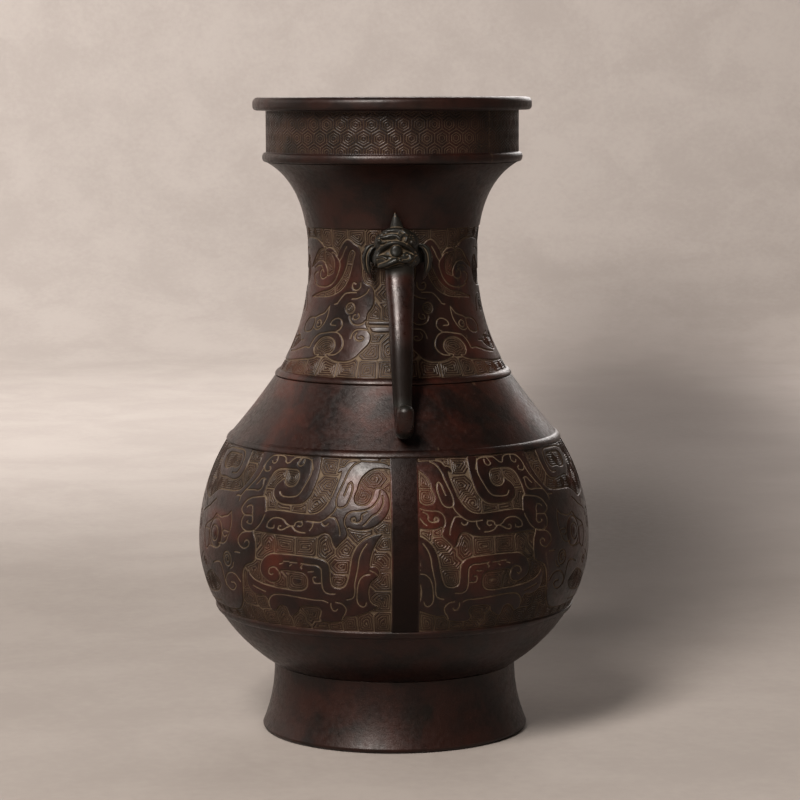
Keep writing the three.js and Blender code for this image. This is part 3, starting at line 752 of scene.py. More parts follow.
class Shader:
    """Short calls for a material's nodes."""

    def __init__(self, name):
        self.material = bpy.data.materials.new(name)
        self.material.use_nodes = True
        self.tree = self.material.node_tree
        self.surface = self.tree.nodes["Principled BSDF"]
        self.place = self.add("ShaderNodeTexCoord").outputs["Object"]

    def add(self, kind, **settings):
        node = self.tree.nodes.new(kind)
        for key, value in settings.items():
            setattr(node, key, value)
        return node

    def link(self, source, target):
        if isinstance(source, bpy.types.NodeSocket):
            self.tree.links.new(source, target)
        else:
            target.default_value = source

    def noise(self, size, detail=4.0, roughness=0.55, distortion=0.0):
        """Noise whose largest features are about size millimetres across."""
        node = self.add("ShaderNodeTexNoise")
        self.link(self.place, node.inputs["Vector"])
        node.inputs["Scale"].default_value = 1 / (size * MILLIMETRE)
        node.inputs["Detail"].default_value = detail
        node.inputs["Roughness"].default_value = roughness
        node.inputs["Distortion"].default_value = distortion
        return node.outputs["Fac"]

    def spread(self, value, low, high, to_low=0.0, to_high=1.0):
        node = self.add("ShaderNodeMapRange", interpolation_type="SMOOTHSTEP")
        for name, number in zip(("From Min", "From Max", "To Min", "To Max"), (low, high, to_low, to_high)):
            node.inputs[name].default_value = number
        self.link(value, node.inputs["Value"])
        return node.outputs["Result"]

    def math(self, operation, first, second):
        node = self.add("ShaderNodeMath", operation=operation)
        self.link(first, node.inputs[0])
        self.link(second, node.inputs[1])
        return node.outputs[0]

    def weighted(self, first, first_share, second, second_share):
        first = self.math("MULTIPLY", first, first_share)
        return self.math("ADD", first, self.math("MULTIPLY", second, second_share))

    def bump(self, height, strength, distance):
        node = self.add("ShaderNodeBump")
        node.inputs["Strength"].default_value = strength
        node.inputs["Distance"].default_value = distance
        self.link(height, node.inputs["Height"])
        self.link(node.outputs["Normal"], self.surface.inputs["Normal"])

    def mix(self, share, first, second):
        node = self.add("ShaderNodeMix", data_type="RGBA")
        self.link(share, node.inputs["Factor"])
        for socket, colour in ((node.inputs[6], first), (node.inputs[7], second)):
            self.link(colour if isinstance(colour, bpy.types.NodeSocket) else (*colour, 1), socket)
        return node.outputs[2]


BROWN = (0.024, 0.0085, 0.0058)
NEAR_BLACK = (0.0095, 0.0048, 0.0038)
RED_BROWN = (0.078, 0.0165, 0.0078)
GREY_GREEN = (0.0105, 0.0112, 0.0085)
KHAKI = (0.195, 0.152, 0.106)
WORN_GOLD = (0.135, 0.092, 0.056)


def bronze(name, red_share, green_shares, dust_share, roughness, coat, wear_share, handled_levels):
    """Dark patinated bronze: brown over near black, khaki dust low in the relief, edges worn to dull gold.

    It reddens in patches between the inner two of each four handled_levels, and green_shares are the
    green in patches and the even green elsewhere. roughness is the patina's and the handled part's.
    A dust value below 0 darkens the bronze towards near black and lowers its gloss.
    """
    shader = Shader(name)
    wide = shader.noise(60, 4, 0.6, 0.6)
    middle = shader.noise(17, 5, 0.6, 0.3)
    small = shader.noise(3.2, 5, 0.65)
    grain = shader.noise(0.7, 3, 0.6)
    colour = shader.mix(shader.spread(middle, 0.38, 0.66), BROWN, NEAR_BLACK)
    red = shader.math("MULTIPLY", shader.spread(wide, 0.44, 0.68), shader.spread(small, 0.1, 0.7, 0.45, 1.0))
    level = shader.add("ShaderNodeSeparateXYZ")
    shader.link(shader.place, level.inputs[0])
    level = level.outputs["Z"]
    handled = 0.0
    for span in handled_levels:
        from_low, low, high, to_high = (place * MILLIMETRE for place in span)
        rise = shader.spread(level, from_low, low)
        fall = shader.spread(level, high, to_high, 1.0, 0.0)
        handled = shader.math("ADD", handled, shader.math("MULTIPLY", rise, fall))
    red = shader.math("MULTIPLY", red, shader.spread(handled, 0, 1, 0.15 * red_share, red_share))
    patchy_green, even_green = green_shares
    green = shader.spread(shader.noise(34, 3, 0.5, 0.4), 0.5, 0.72, 0.0, patchy_green)
    green = shader.math("ADD", green, shader.spread(handled, 0, 1, even_green, 0.0))
    colour = shader.mix(red, colour, RED_BROWN)
    colour = shader.mix(green, colour, GREY_GREEN)
    dust = shader.add("ShaderNodeAttribute", attribute_name="dust").outputs["Fac"]
    colour = shader.mix(shader.spread(dust, -1, 0, 1.0, 0.0), colour, NEAR_BLACK)
    gloss = shader.spread(dust, -0.8, 0, 0.2, 0.45)
    dust = shader.spread(dust, 0, 1)
    patchy = shader.spread(middle, 0.25, 0.7, 1.0, 0.45)
    settled = shader.math("MULTIPLY", shader.math("MULTIPLY", dust, patchy), dust_share)
    speck = shader.spread(small, 0.66, 0.8, 0.0, 0.35)
    settled = shader.math("ADD", settled, shader.math("MULTIPLY", speck, dust_share * 0.5))
    colour = shader.mix(settled, colour, KHAKI)
    gloss = shader.math("MULTIPLY", gloss, shader.spread(settled, 0.0, 0.14, 1.0, 0.25))
    shader.link(gloss, shader.surface.inputs["Specular IOR Level"])
    edges = shader.add("ShaderNodeNewGeometry").outputs["Pointiness"]
    colour = shader.mix(shader.spread(edges, 0.52, 0.58, 0.0, wear_share), colour, WORN_GOLD)
    shader.link(colour, shader.surface.inputs["Base Color"])
    rough = shader.spread(small, 0.3, 0.75, -0.06, 0.12)
    rough = shader.math("ADD", rough, shader.spread(handled, 0, 1, *roughness))
    rough = shader.math("ADD", rough, shader.math("MULTIPLY", settled, 0.4))
    shader.link(rough, shader.surface.inputs["Roughness"])
    shader.surface.inputs["Metallic"].default_value = 0.15
    shader.surface.inputs["IOR"].default_value = 1.5
    shader.surface.inputs["Coat Weight"].default_value = coat
    shader.surface.inputs["Coat Roughness"].default_value = 0.3
    shader.bump(shader.weighted(small, 0.7, grain, 0.3), 0.5, 0.4 * MILLIMETRE)
    return shader.material


# Middle and half sizes in metres of each shadow painted on the floor behind the jar, and how dark its middle
# is
PAINTED_SHADOWS = [
    ((-0.8, 0.24, 0), (0.8, 0.22, 0.2), 0.85),
    ((-1.1, 0.38, 0), (1.2, 0.4, 0.2), 0.5),
    ((-1.9, 0.44, 0), (1.45, 0.42, 0.3), 0.8),
]
PAINTED_SHADOW_TURN = math.radians(-8)
PAINTED_SHADOW_EDGE = (0.1, 1.0)
PAINTED_SHADOW_GREY = (0.055, 0.047, 0.043)
PAPER_GREYS = (0.345, 0.310, 0.287), (0.385, 0.348, 0.323)


def paper_with_painted_shadows():
    """Warm grey seamless paper, faintly mottled, with three soft shadows of the jar painted on the floor
    behind it.
    """
    shader = Shader("paper_with_painted_shadows")
    fibre = shader.noise(9, 4, 0.6)
    mottle = shader.weighted(shader.noise(130, 5, 0.6, 0.4), 0.65, fibre, 0.35)
    colour = shader.mix(shader.spread(mottle, 0.35, 0.65), *PAPER_GREYS)
    # Each patch darkens the paper as a painted shadow of the jar
    for middle, half_sizes, depth in PAINTED_SHADOWS:
        around = shader.add("ShaderNodeMapping", vector_type="TEXTURE")
        shader.link(shader.place, around.inputs["Vector"])
        around.inputs["Location"].default_value = middle
        around.inputs["Rotation"].default_value = (0, 0, PAINTED_SHADOW_TURN)
        around.inputs["Scale"].default_value = half_sizes
        reach = shader.add("ShaderNodeVectorMath", operation="LENGTH")
        shader.link(around.outputs[0], reach.inputs[0])
        painted_shadow = shader.spread(reach.outputs["Value"], *PAINTED_SHADOW_EDGE, depth, 0.0)
        colour = shader.mix(painted_shadow, colour, PAINTED_SHADOW_GREY)
    shader.link(colour, shader.surface.inputs["Base Color"])
    shader.link(shader.spread(fibre, 0.3, 0.7, 0.85, 0.95), shader.surface.inputs["Roughness"])
    shader.surface.inputs["Specular IOR Level"].default_value = 0.2
    shader.bump(fibre, 0.08, 0.5 * MILLIMETRE)
    return shader.material


# Levels between which each bronze is reddened or rubbed, with the levels where that fades out
BODY_HANDLED = [(95, 140, 290, 335)]
HANDLE_HANDLED = [(240, 280, 304, 312), (209, 213, 223, 229)]
FITTING_HANDLED = [(0, 1, 400, 420)]

body_bronze = bronze("bronze_body", 0.85, (0.25, 0), 0.9, (0.4, 0.36), 0.06, 0.3, BODY_HANDLED)
handle_bronze = bronze("bronze_handle", 0.35, (0, 0.85), 0.85, (0.46, 0.3), 0.08, 0.9, HANDLE_HANDLED)
fitting_bronze = bronze("bronze_fitting", 0.3, (0.3, 0), 0.6, (0.5, 0.5), 0.05, 0.3, FITTING_HANDLED)

# Belly, with the spigot that stands in the foot and the lap inside the neck

SPIGOT_INNER = 72.5
SPIGOT_OUTER = 75.7
SPIGOT_BOTTOM = 38.1
SPIGOT_TOP = 47.2
LAP_INNER = 68.07
LAP_OUTER = 70.57
LAP_BOTTOM = 234.1
LAP_TOP = 244.8

belly_band = (BELLY_RIB[0] + BELLY_RIB[1], SHOULDER_RIB_BAND[0])
underside = FOOT_TOP + JOINT_GAP
belly_plain = np.vstack([
    stretch(belly_radius, underside, SHOULDER_RIB, 120),
    stretch(shoulder_radius, SHOULDER_RIB, NECK_JOINT, 30)[1:],
])
belly_inner = inner_wall(belly_plain, BODY_WALL)
is_free = (belly_inner[:, 1] > SPIGOT_TOP + JOINT_GAP) & (belly_inner[:, 1] < NECK_JOINT - 1)
belly_inner = belly_inner[is_free & (belly_inner[:, 0] > SPIGOT_INNER)]
belly_runs = [
    *straights("spigot_bottom spigot_side underside", [
        (SPIGOT_INNER, SPIGOT_BOTTOM), (SPIGOT_OUTER, SPIGOT_BOTTOM), (SPIGOT_OUTER, underside),
        (float(belly_radius(underside)), underside),
    ]),
    ("lower", stretch(belly_radius, underside, BELLY_RIB[0]), 1.6),
    ("belly_rib", rib(belly_radius, BELLY_RIB, BODY_RIB_PROUD), RIB_STEP),
    ("band", resample(stretch(belly_radius, *belly_band, 400), BAND_STEP), 0),
    ("shoulder_rib", rib(belly_radius, SHOULDER_RIB_BAND, BODY_RIB_PROUD), RIB_STEP),
    ("shoulder", stretch(shoulder_radius, SHOULDER_RIB, NECK_JOINT), 1.6),
    *straights("top lap_side lap_top lap_inner", [
        (NECK_JOINT_RADIUS, NECK_JOINT), (LAP_OUTER, NECK_JOINT), (LAP_OUTER, LAP_TOP), (LAP_INNER, LAP_TOP),
        (LAP_INNER, LAP_BOTTOM),
    ]),
    ("inner", [(LAP_INNER, LAP_BOTTOM), *belly_inner[::-1], (SPIGOT_INNER, SPIGOT_TOP)], STRAIGHT_STEP),
    *straights("spigot_inner", [(SPIGOT_INNER, SPIGOT_TOP), (SPIGOT_INNER, SPIGOT_BOTTOM)]),
]
belly_rows, belly_places = closed_outline(belly_runs)
belly_levels = belly_rows[belly_places["band"], 1]
belly_across = quarter_across(BELLY_COLUMNS, WIDEST_RADIUS)
belly_ornament = Ornament(belly_across, belly_levels, BELLY_BODIES, BELLY_POCKETS, BELLY_LINES, BELLY_DOMES)
strap_side = STRAP_HALF_WIDTH * WIDEST_RADIUS / belly_radius(belly_levels)[:, None]
belly_quarters = []
for shift in (0, 2 * belly_across[0]):
    strap_edge = belly_across - strap_side - shift
    panel_edge = np.minimum(border_distance(belly_levels), strap_edge)
    belly_quarters.append(belly_ornament.relief(panel_edge, strap_edge))
belly_relief = [wrap_quarters(*pair, AXIS_SHIFT_COLUMNS) for pair in zip(*belly_quarters)]
belly_mesh = turned_mesh(
    "jar_belly", belly_rows, belly_places, BELLY_COLUMNS, {"band": belly_relief},
    ["inner", "spigot_inner", "lap_inner", "spigot_bottom", "lap_top"],
)
add_piece(belly_mesh, body_bronze, "belly")

# Neck, whose socket sits over the belly's lap and whose own lap stands in the collar

SOCKET_INNER = 70.17
SOCKET_OUTER = 70.87
SOCKET_TOP = 245.1
NECK_LAP_INNER = 76.9
NECK_LAP_OUTER = 79.4
NECK_LAP_BOTTOM = 377.8
NECK_LAP_TOP = 385
NECK_TOP_RADIUS = COLLAR_RADIUS - 0.7
FUNNEL_LEAVE = (1.8, 11)
FUNNEL_ARRIVE = (18.4, 10.6)
neck_band = (NECK_RIB[0] + NECK_RIB[1], BAND_TOP)


def funnel():
    """A cubic curve from the band's top to the collar."""
    first = np.array([BAND_TOP_RADIUS, BAND_TOP])
    last = np.array([NECK_TOP_RADIUS, COLLAR])
    leave, arrive = first + FUNNEL_LEAVE, last - FUNNEL_ARRIVE
    t = np.linspace(0, 1, 61)[:, None]
    return (1 - t) ** 3 * first + 3 * t * (1 - t) ** 2 * leave + 3 * t**2 * (1 - t) * arrive + t**3 * last


neck_plain = np.vstack([stretch(neck_radius, NECK_RIB[0], BAND_TOP, 120), funnel()[1:]])
neck_inner = inner_wall(neck_plain, BODY_WALL)
neck_inner = neck_inner[(neck_inner[:, 1] > SOCKET_TOP + 1) & (neck_inner[:, 0] < NECK_LAP_INNER - 1)]
neck_bottom = NECK_RIB[0]
neck_runs = [
    *straights("underside", [(SOCKET_OUTER, neck_bottom), (float(neck_radius(neck_bottom)), neck_bottom)]),
    ("neck_rib", rib(neck_radius, NECK_RIB, BODY_RIB_PROUD), RIB_STEP),
    ("band", resample(stretch(neck_radius, *neck_band, 400), BAND_STEP), 0),
    ("funnel", funnel(), 1.2),
    *straights("top lap_side lap_top lap_inner", [
        (NECK_TOP_RADIUS, COLLAR), (NECK_LAP_OUTER, COLLAR), (NECK_LAP_OUTER, NECK_LAP_TOP),
        (NECK_LAP_INNER, NECK_LAP_TOP), (NECK_LAP_INNER, NECK_LAP_BOTTOM),
    ]),
    ("inner", [(NECK_LAP_INNER, NECK_LAP_BOTTOM), *neck_inner[::-1], (SOCKET_INNER, SOCKET_TOP)],
     STRAIGHT_STEP),
    *straights("socket_top socket_side", [
        (SOCKET_INNER, SOCKET_TOP), (SOCKET_OUTER, SOCKET_TOP), (SOCKET_OUTER, neck_bottom),
    ]),
]
neck_rows, neck_places = closed_outline(neck_runs)
neck_levels = neck_rows[neck_places["band"], 1]
neck_across = quarter_across(NECK_COLUMNS, NECK_REFERENCE)
neck_ornament = Ornament(neck_across, neck_levels, NECK_BODIES, NECK_POCKETS, NECK_LINES, NECK_DOMES)
no_strap = np.full((len(neck_levels), len(neck_across)), FAR)
neck_quarter = neck_ornament.relief(np.minimum(border_distance(neck_levels), no_strap), no_strap)
neck_relief = [wrap_quarters(part, part, AXIS_SHIFT_COLUMNS) for part in neck_quarter]
neck_mesh = turned_mesh(
    "jar_neck", neck_rows, neck_places, NECK_COLUMNS, {"band": neck_relief},
    ["inner", "lap_inner", "lap_top", "socket_top", "socket_side"],
)
add_piece(neck_mesh, body_bronze, "neck")

# Collar with its band of hexagons

HEXAGONS = 52
HEXAGON_ROW = 385.5
HEXAGON_RINGS = (3.2, 1.75)
HEXAGON_LINE_DEPTH = 0.25
COLLAR_INNER = 79.7
LIP_ROUND = 2.6
RIM_ROUND = 3.6
MOUTH_ROUND = 1.2
QUARTER_TURN = math.pi / 2
hexagon_width = 2 * math.pi * COLLAR_RADIUS / HEXAGONS


def hexagon_distance(across, up):
    """Distance to the middle of the nearest hexagon, measured square to its sides."""
    row_height = hexagon_width * math.sqrt(3) / 2
    span = np.full(np.broadcast(across, up).shape, FAR)
    for parity in (0, 1):
        row = np.round((up - HEXAGON_ROW - parity * row_height) / (2 * row_height))
        rise = up - HEXAGON_ROW - parity * row_height - row * 2 * row_height
        offset = across - parity * hexagon_width / 2
        offset = offset - np.round(offset / hexagon_width) * hexagon_width
        sideways = np.abs(offset)
        slanted = np.abs(offset) / 2 + np.abs(rise) * math.sqrt(3) / 2
        span = np.minimum(span, np.maximum(sideways, slanted))
    return span


def collar_relief(levels):
    across = full_turn(COLLAR_COLUMNS)[None, :] * COLLAR_RADIUS
    span = hexagon_distance(across, levels[:, None])
    carved = 1 - smooth_step(0.2, 0.5, span)
    for line in (hexagon_width / 2, *HEXAGON_RINGS):
        carved = np.maximum(carved, 1 - smooth_step(0.1, 0.45, np.abs(span - line)))
    carved = carved * smooth_step(0.2, 0.6, border_distance(levels))
    return -HEXAGON_LINE_DEPTH * carved, 0.55 * carved


def collar_radius(level):
    return np.full(np.shape(level), COLLAR_RADIUS)


collar_band = (COLLAR_RIB[0] + COLLAR_RIB[1], LIP)
lip_middle = (LIP_RADIUS - LIP_ROUND, LIP + LIP_ROUND)
rim_middle = (LIP_RADIUS - RIM_ROUND, RIM - RIM_ROUND)
mouth_middle = (COLLAR_INNER + MOUTH_ROUND, RIM - MOUTH_ROUND)
collar_runs = [
    *straights("underside", [(COLLAR_INNER, COLLAR_RIB[0]), (COLLAR_RADIUS, COLLAR_RIB[0])]),
    ("collar_rib", rib(collar_radius, COLLAR_RIB, COLLAR_RIB_PROUD), 0.45),
    ("band", resample([(COLLAR_RADIUS, level) for level in collar_band], 0.33), 0),
    ("lip_underside", [(COLLAR_RADIUS, LIP), (lip_middle[0] + 0.1, LIP)], 1.5),
    ("lip_edge", [*arc(lip_middle, LIP_ROUND, -QUARTER_TURN, 0),
                  *arc(rim_middle, RIM_ROUND, 0, QUARTER_TURN)], 0),
    ("lip_top", [(rim_middle[0], RIM), (mouth_middle[0], RIM)], 1.5),
    ("mouth_round", arc(mouth_middle, MOUTH_ROUND, QUARTER_TURN, 2 * QUARTER_TURN, 4), 0),
    *straights("inner", [(COLLAR_INNER, mouth_middle[1]), (COLLAR_INNER, COLLAR_RIB[0])]),
]
collar_rows, collar_places = closed_outline(collar_runs)
collar_levels = collar_rows[collar_places["band"], 1]
collar_mesh = turned_mesh(
    "jar_collar", collar_rows, collar_places, COLLAR_COLUMNS, {"band": collar_relief(collar_levels)},
    ["inner"], twist=math.radians(1.5),
)
add_piece(collar_mesh, body_bronze, "mouth_collar")

# Foot, with the seat for the belly's spigot and the ledge under it

FOOT_INNER = 82
FOOT_ROUND_MIDDLE = 85.5
SEAT_RADIUS = 76
LEDGE_RADIUS = 69.5
LEDGE_TOP = 37.8
LEDGE_BOTTOM = 33.8

foot_runs = [
    *straights("foot_floor", [(FOOT_INNER, 0), (FOOT_ROUND_MIDDLE, 0)]),
    ("foot_round", arc((FOOT_ROUND_MIDDLE, FOOT_ROUND), FOOT_ROUND, -QUARTER_TURN, 0, 6)[1:], 0),
    ("flare", stretch(foot_radius, FOOT_ROUND, FOOT_TOP), 1.2),
    *straights("foot_top seat_side ledge_top ledge_side ledge_bottom foot_inner", [
        (FOOT_TOP_RADIUS, FOOT_TOP), (SEAT_RADIUS, FOOT_TOP), (SEAT_RADIUS, LEDGE_TOP),
        (LEDGE_RADIUS, LEDGE_TOP), (LEDGE_RADIUS, LEDGE_BOTTOM), (SPIGOT_OUTER, LEDGE_BOTTOM),
        (FOOT_INNER, 0),
    ]),
]
foot_rows, foot_places = closed_outline(foot_runs)
foot_mesh = turned_mesh("jar_foot", foot_rows, foot_places, FOOT_COLUMNS, {}, ["foot_inner", "ledge_bottom"])
add_piece(foot_mesh, body_bronze, "foot_ring")

# Handles: the trunk that hangs from the head's mouth, in the frame of the handle on +X

TRUNK_STANDOFFS = [19, 22.8, 27.2, 29.2, 28.3, 25.3, 20.3, 14.2, 8.4]
TRUNK_TOP = 308.5
TRUNK_TAIL = 212.4
TRUNK_CURL = [(5.2, 0.2), (9.4, 6), (9.6, 16.6)]
TRUNK_WIDTHS = [(0, 18), (0.12, 18.4), (0.3, 15.6), (0.5, 14.2), (0.68, 12), (0.8, 11.3), (1, 11.0)]
TRUNK_DEPTHS = [(0, 12.6), (0.7, 10.8), (1, 10.6)]
TRUNK_LEAN = 1.0
TRUNK_ROUNDING = 0.9
TRUNK_TIP_ROUND = 5.0
TRUNK_START_ROUND = 1.2
TRUNK_BLACK = 0.65


def trunk_path():
    levels = np.linspace(TRUNK_TOP, TRUNK_TAIL, len(TRUNK_STANDOFFS))
    points = [(body_radius(level) + out, level) for level, out in zip(levels, TRUNK_STANDOFFS)]
    tail = points[-1]
    points += [(tail[0] + out, tail[1] + up) for out, up in TRUNK_CURL]
    return smooth_line([(points[0][0], TRUNK_TOP + 8), *points], spacing=0.25)


def rounded(span, radius):
    """How a rod's thickness falls off over its end, span away from it."""
    return np.sqrt(np.clip(1 - (1 - span / radius).clip(0) ** 2, 0.0004, 1))


def squared_circle(count, power):
    """Cosine and sine round a full turn, squared off the more the further the power is below 1."""
    turn = full_turn(count)
    return [np.sign(wave) * np.abs(wave) ** power for wave in (np.cos(turn), np.sin(turn))]


def trunk_mesh(name, turn):
    path = resample(trunk_path(), 0.45)
    along = headings(path)
    distance = lengths_along(path)
    share = distance / distance[-1]
    ends = rounded(distance[-1] - distance, TRUNK_TIP_ROUND) * rounded(distance, TRUNK_START_ROUND)
    width = np.interp(share, *zip(*TRUNK_WIDTHS)) / 2 * ends
    depth = np.interp(share, *zip(*TRUNK_DEPTHS)) / 2 * ends
    sideways, outwards = squared_circle(96, TRUNK_ROUNDING)
    x = path[:, :1] - along[:, 1:] * depth[:, None] * outwards
    z = path[:, 1:] + along[:, :1] * depth[:, None] * outwards
    y = width[:, None] * sideways + TRUNK_LEAN * smooth_step(0.6, 1, share)[:, None]
    cosine, sine = math.cos(turn), math.sin(turn)
    points = np.stack([x * cosine - y * sine, x * sine + y * cosine, z], -1)
    # The stretch that no hand rubs has stayed near black
    # The trunk is darkened to near black, with less gloss, from about level 234 to 270, short of its curled
    # tip
    level = path[:, 1]
    black = smooth_step(270, 256, level) * smooth_step(224, 234, level) * smooth_step(0.9, 0.7, share)
    dust = np.repeat(-TRUNK_BLACK * black[:, None], len(sideways), axis=1)
    return grid_mesh(name, points[::-1], dust[::-1], share)


# The beast head, carved in relief on a rounded skull, in the frame of the handle on +X

HEAD_LEVEL = 323.0
HEAD_MIDDLE = Vector((66.0, 0.0, 321.5))
FACE_TURN = -0.1
SKULL_PARTS = [
    ((67.0, 0, 323.0), (13.0, 13.6, 13.4)),
    ((72.0, 0, 328.5), (8.6, 13.2, 7.4)),
    ((73.0, 0, 317.0), (9.8, 14.0, 7.0)),
]
HEAD_RIDGES = [
    (1.3, 1.5, [(-12.8, 320.2), (-9.6, 323.8), (-5, 327), (0, 328.1), (3, 327.6), (7, 325.6), (11.4, 322)]),
    (1.1, 1.3, [(-10.4, 331), (-6, 331.9), (-2.6, 332.8), (0.6, 332.4), (2.4, 330.8)]),
    (1.0, 1.2, [(2.6, 330.4), (3.4, 332.4), (5.4, 332.8), (6.9, 331.2), (6.2, 329.4)]),
    (1.0, 1.1, [(-9.6, 333), (-5.6, 335.6), (0, 336.4), (4.4, 335.6), (7.4, 333)]),
    (1.8, 2.4, [(-9.6, 313.4), (-5.4, 315), (-2.4, 316.6), (0, 317.8)]),
    (1.0, 1.5, [(2.4, 317.6), (5, 316.7), (8, 317.2), (10.6, 319.6)]),
    (0.9, 1.1, [(5.2, 320.8), (7.2, 321.8), (9, 320.8), (9.2, 318.8)]),
    (0.8, 0.9, [(8.4, 313.2), (10.6, 314.8), (12.4, 317.8), (13, 321)]),
    (0.9, 1.0, [(-12.6, 319), (-8.2, 319.8), (-6, 318.8)]),
    (0.9, 1.0, [(-13, 314), (-13.2, 317), (-13, 320)]),
]
HEAD_GROOVES = [
    (0.6, 1.0, [(-9.8, 327), (-7.6, 327.6), (-6.2, 328.6)]),
    (0.7, 1.0, [(-11, 334), (-7.6, 334.2), (-3, 334.6), (1, 334.4)]),
    (0.7, 1.0, [(-9, 330), (-5, 330.2), (0, 330.6)]),
    (0.6, 0.9, [(8.6, 327), (10.4, 325), (11.6, 323.4)]),
    (0.7, 1.0, [(-11, 312.4), (-6, 313), (-1, 314.4), (2.4, 315.2), (6.4, 314), (9.6, 312.2)]),
]
HEAD_BOSSES = [(-10.6, 329.2, 1.5, 1.6), (10.6, 328.2, 1.5, 1.2)]
LENS_LOOP = [
    (-11.8, 320.3), (-8.4, 323.2), (-4.4, 326), (-0.2, 327.2), (3.4, 326.4), (7.4, 324.2), (10.6, 321.4),
    (10.6, 321.4), (7, 320), (3.5, 319.2), (0, 318.8), (-4, 319.2), (-8, 319.8), (-11.8, 320.3),
]
LENS_DEPTH = 1.5
NOSE_BALL = (0.0, 323.2, 3.9)


def skull_reach(directions):
    """How far the joined ellipsoids reach from the head's middle in each direction."""
    power = 6
    reach = np.zeros(directions.shape[:-1])
    for centre, radii in SKULL_PARTS:
        start = (np.array(HEAD_MIDDLE) - centre) / radii
        step = directions / radii
        a = (step**2).sum(-1)
        b = (step * start).sum(-1)
        c = (start**2).sum() - 1
        found = (-b + np.sqrt(np.maximum(b * b - a * c, 0))) / a
        reach = (reach**power + np.maximum(found, 0) ** power) ** (1 / power)
    return reach


def head_relief(y, z):
    """Height of the carving at points of the face, seen from the front."""
    points = list(zip(y.ravel(), z.ravel()))
    lens = smooth_line(LENS_LOOP, closed=True)
    marks = np.array([inside_point([lens], point) for point in points])
    height = -np.where(marks, LENS_DEPTH * smooth_step(0, 1.0, nearest(lens, points)), 0)
    for half_width, rise, line in HEAD_RIDGES:
        span = nearest(smooth_line(line), points) / half_width
        height = np.maximum(height, rise * np.sqrt(np.maximum(1 - span**2, 0)) + np.minimum(height, 0))
    for half_width, depth, line in HEAD_GROOVES:
        span = nearest(smooth_line(line), points) / half_width
        height -= depth * (1 - smooth_step(0.4, 1.3, span))
    across, up, radius = NOSE_BALL
    span = np.hypot(y.ravel() - across, z.ravel() - up) / radius
    height = np.maximum(height, -1.6 + 4.0 * np.maximum(1 - span**2.6, 0) ** 0.4)
    for across, up, radius, rise in HEAD_BOSSES:
        span = np.hypot(y.ravel() - across, z.ravel() - up) / radius
        height += rise * np.sqrt(np.maximum(1 - span**2, 0))
    return height.reshape(y.shape)


def skull_mesh():
    """The skull as a grid of rings round the line of sight, from the nose to the nape."""
    tilt = np.linspace(0.01, np.pi - 0.01, 180)[:, None]
    turn = full_turn(320)
    directions = np.stack(
        [np.cos(tilt) + 0 * turn, np.sin(tilt) * np.cos(turn), np.sin(tilt) * np.sin(turn)], -1
    )
    surface = np.array(HEAD_MIDDLE) + directions * skull_reach(directions)[..., None]
    facing = smooth_step(-0.15, 0.25, directions[..., 0])
    height = head_relief(surface[..., 1], surface[..., 2]) * facing
    return grid_mesh("skull", surface + directions * height[..., None])


EAR_LINE = [(13, 326), (16.8, 324.4), (19.2, 320.6), (19.8, 316), (19.2, 311.4), (17.8, 307), (16.4, 303.4)]
EAR_PLACE = 62
EAR_HALF_WIDTH = 3.2
EAR_THICKNESS = 2.2


def ear_mesh(side):
    """A hanging leaf with a furrow along its middle and a notched outer edge."""
    line = resample(smooth_line(EAR_LINE), 0.3)
    along = headings(line)
    share = np.linspace(0, 1, len(line))[:, None]
    half_width = EAR_HALF_WIDTH * np.sin(np.pi * share**0.8).clip(0.02) ** 0.6 * (1 - 0.3 * share)
    half_width = half_width * (1 + 0.1 * np.cos(share * 9 * np.pi))
    turn = full_turn(48)
    sideways = half_width * np.cos(turn)
    furrow = 1 - 0.6 * np.exp(-((sideways / 0.9) ** 2)) * (np.sin(turn) > 0)
    outwards = EAR_THICKNESS * np.sin(turn) * furrow * np.sin(np.pi * share).clip(0.05) ** 0.5
    y = line[:, :1] - along[:, 1:] * sideways
    z = line[:, 1:] + along[:, :1] * sideways
    return grid_mesh("ear", np.stack([EAR_PLACE + outwards, side * y, z], -1))


def ear_plate_mesh(side):
    """A short round bar with rounded ends that joins an ear to the skull."""
    share = np.linspace(0, 1, 24)
    path = np.stack([56.8 + 4.6 * share, side * (12.6 + 1.4 * share), 320 + 0.5 * share], -1)
    radii = 6.4 * np.sqrt(np.clip(np.minimum(share * 8, (1 - share) * 5), 0.02, 1))
    along = headings(path)
    first = np.cross(along, (1.0, 0.0, 0.0))
    first /= np.linalg.norm(first, axis=1)[:, None]
    second = np.cross(along, first)
    turn = full_turn(24)[None, :, None]
    ring_points = np.cos(turn) * first[:, None] + np.sin(turn) * second[:, None]
    return grid_mesh("ear_plate", path[:, None] + ring_points * radii[:, None, None])


def crest_mesh():
    """A pointed tuft that stands on the head and leans a little."""
    levels = np.linspace(0, 1, 60)[:, None]
    shape = np.sqrt(np.clip(levels * 8, 0.01, 1)) * (1 - levels**1.8) ** 0.9 + 0.012
    turn = full_turn(48)
    x = 64.4 + 1.6 * levels + 3.6 * shape * np.cos(turn)
    y = -1.3 * levels**2 + 5.2 * shape * np.sin(turn)
    z = 331 + 16 * levels + 0 * turn
    return grid_mesh("crest", np.stack([x, y, z], -1))


def tenon_mesh():
    """The block that runs through the neck's wall to the pin, drawn as a rounded bar."""
    start = float(neck_radius(HEAD_LEVEL)) - BODY_WALL - 7.5
    x = np.concatenate([[start, start, start + 0.6], np.linspace(start + 1, 64, 20), [64, 64]])[:, None]
    size = np.concatenate([[0.01, 0.92, 1], np.ones(20), [0.9, 0.01]])[:, None]
    across, up = squared_circle(64, 0.25)
    points = np.stack([x + 0 * up, size * (4.5 * across), HEAD_LEVEL + size * (6.0 * up)], -1)
    return grid_mesh("tenon", points)


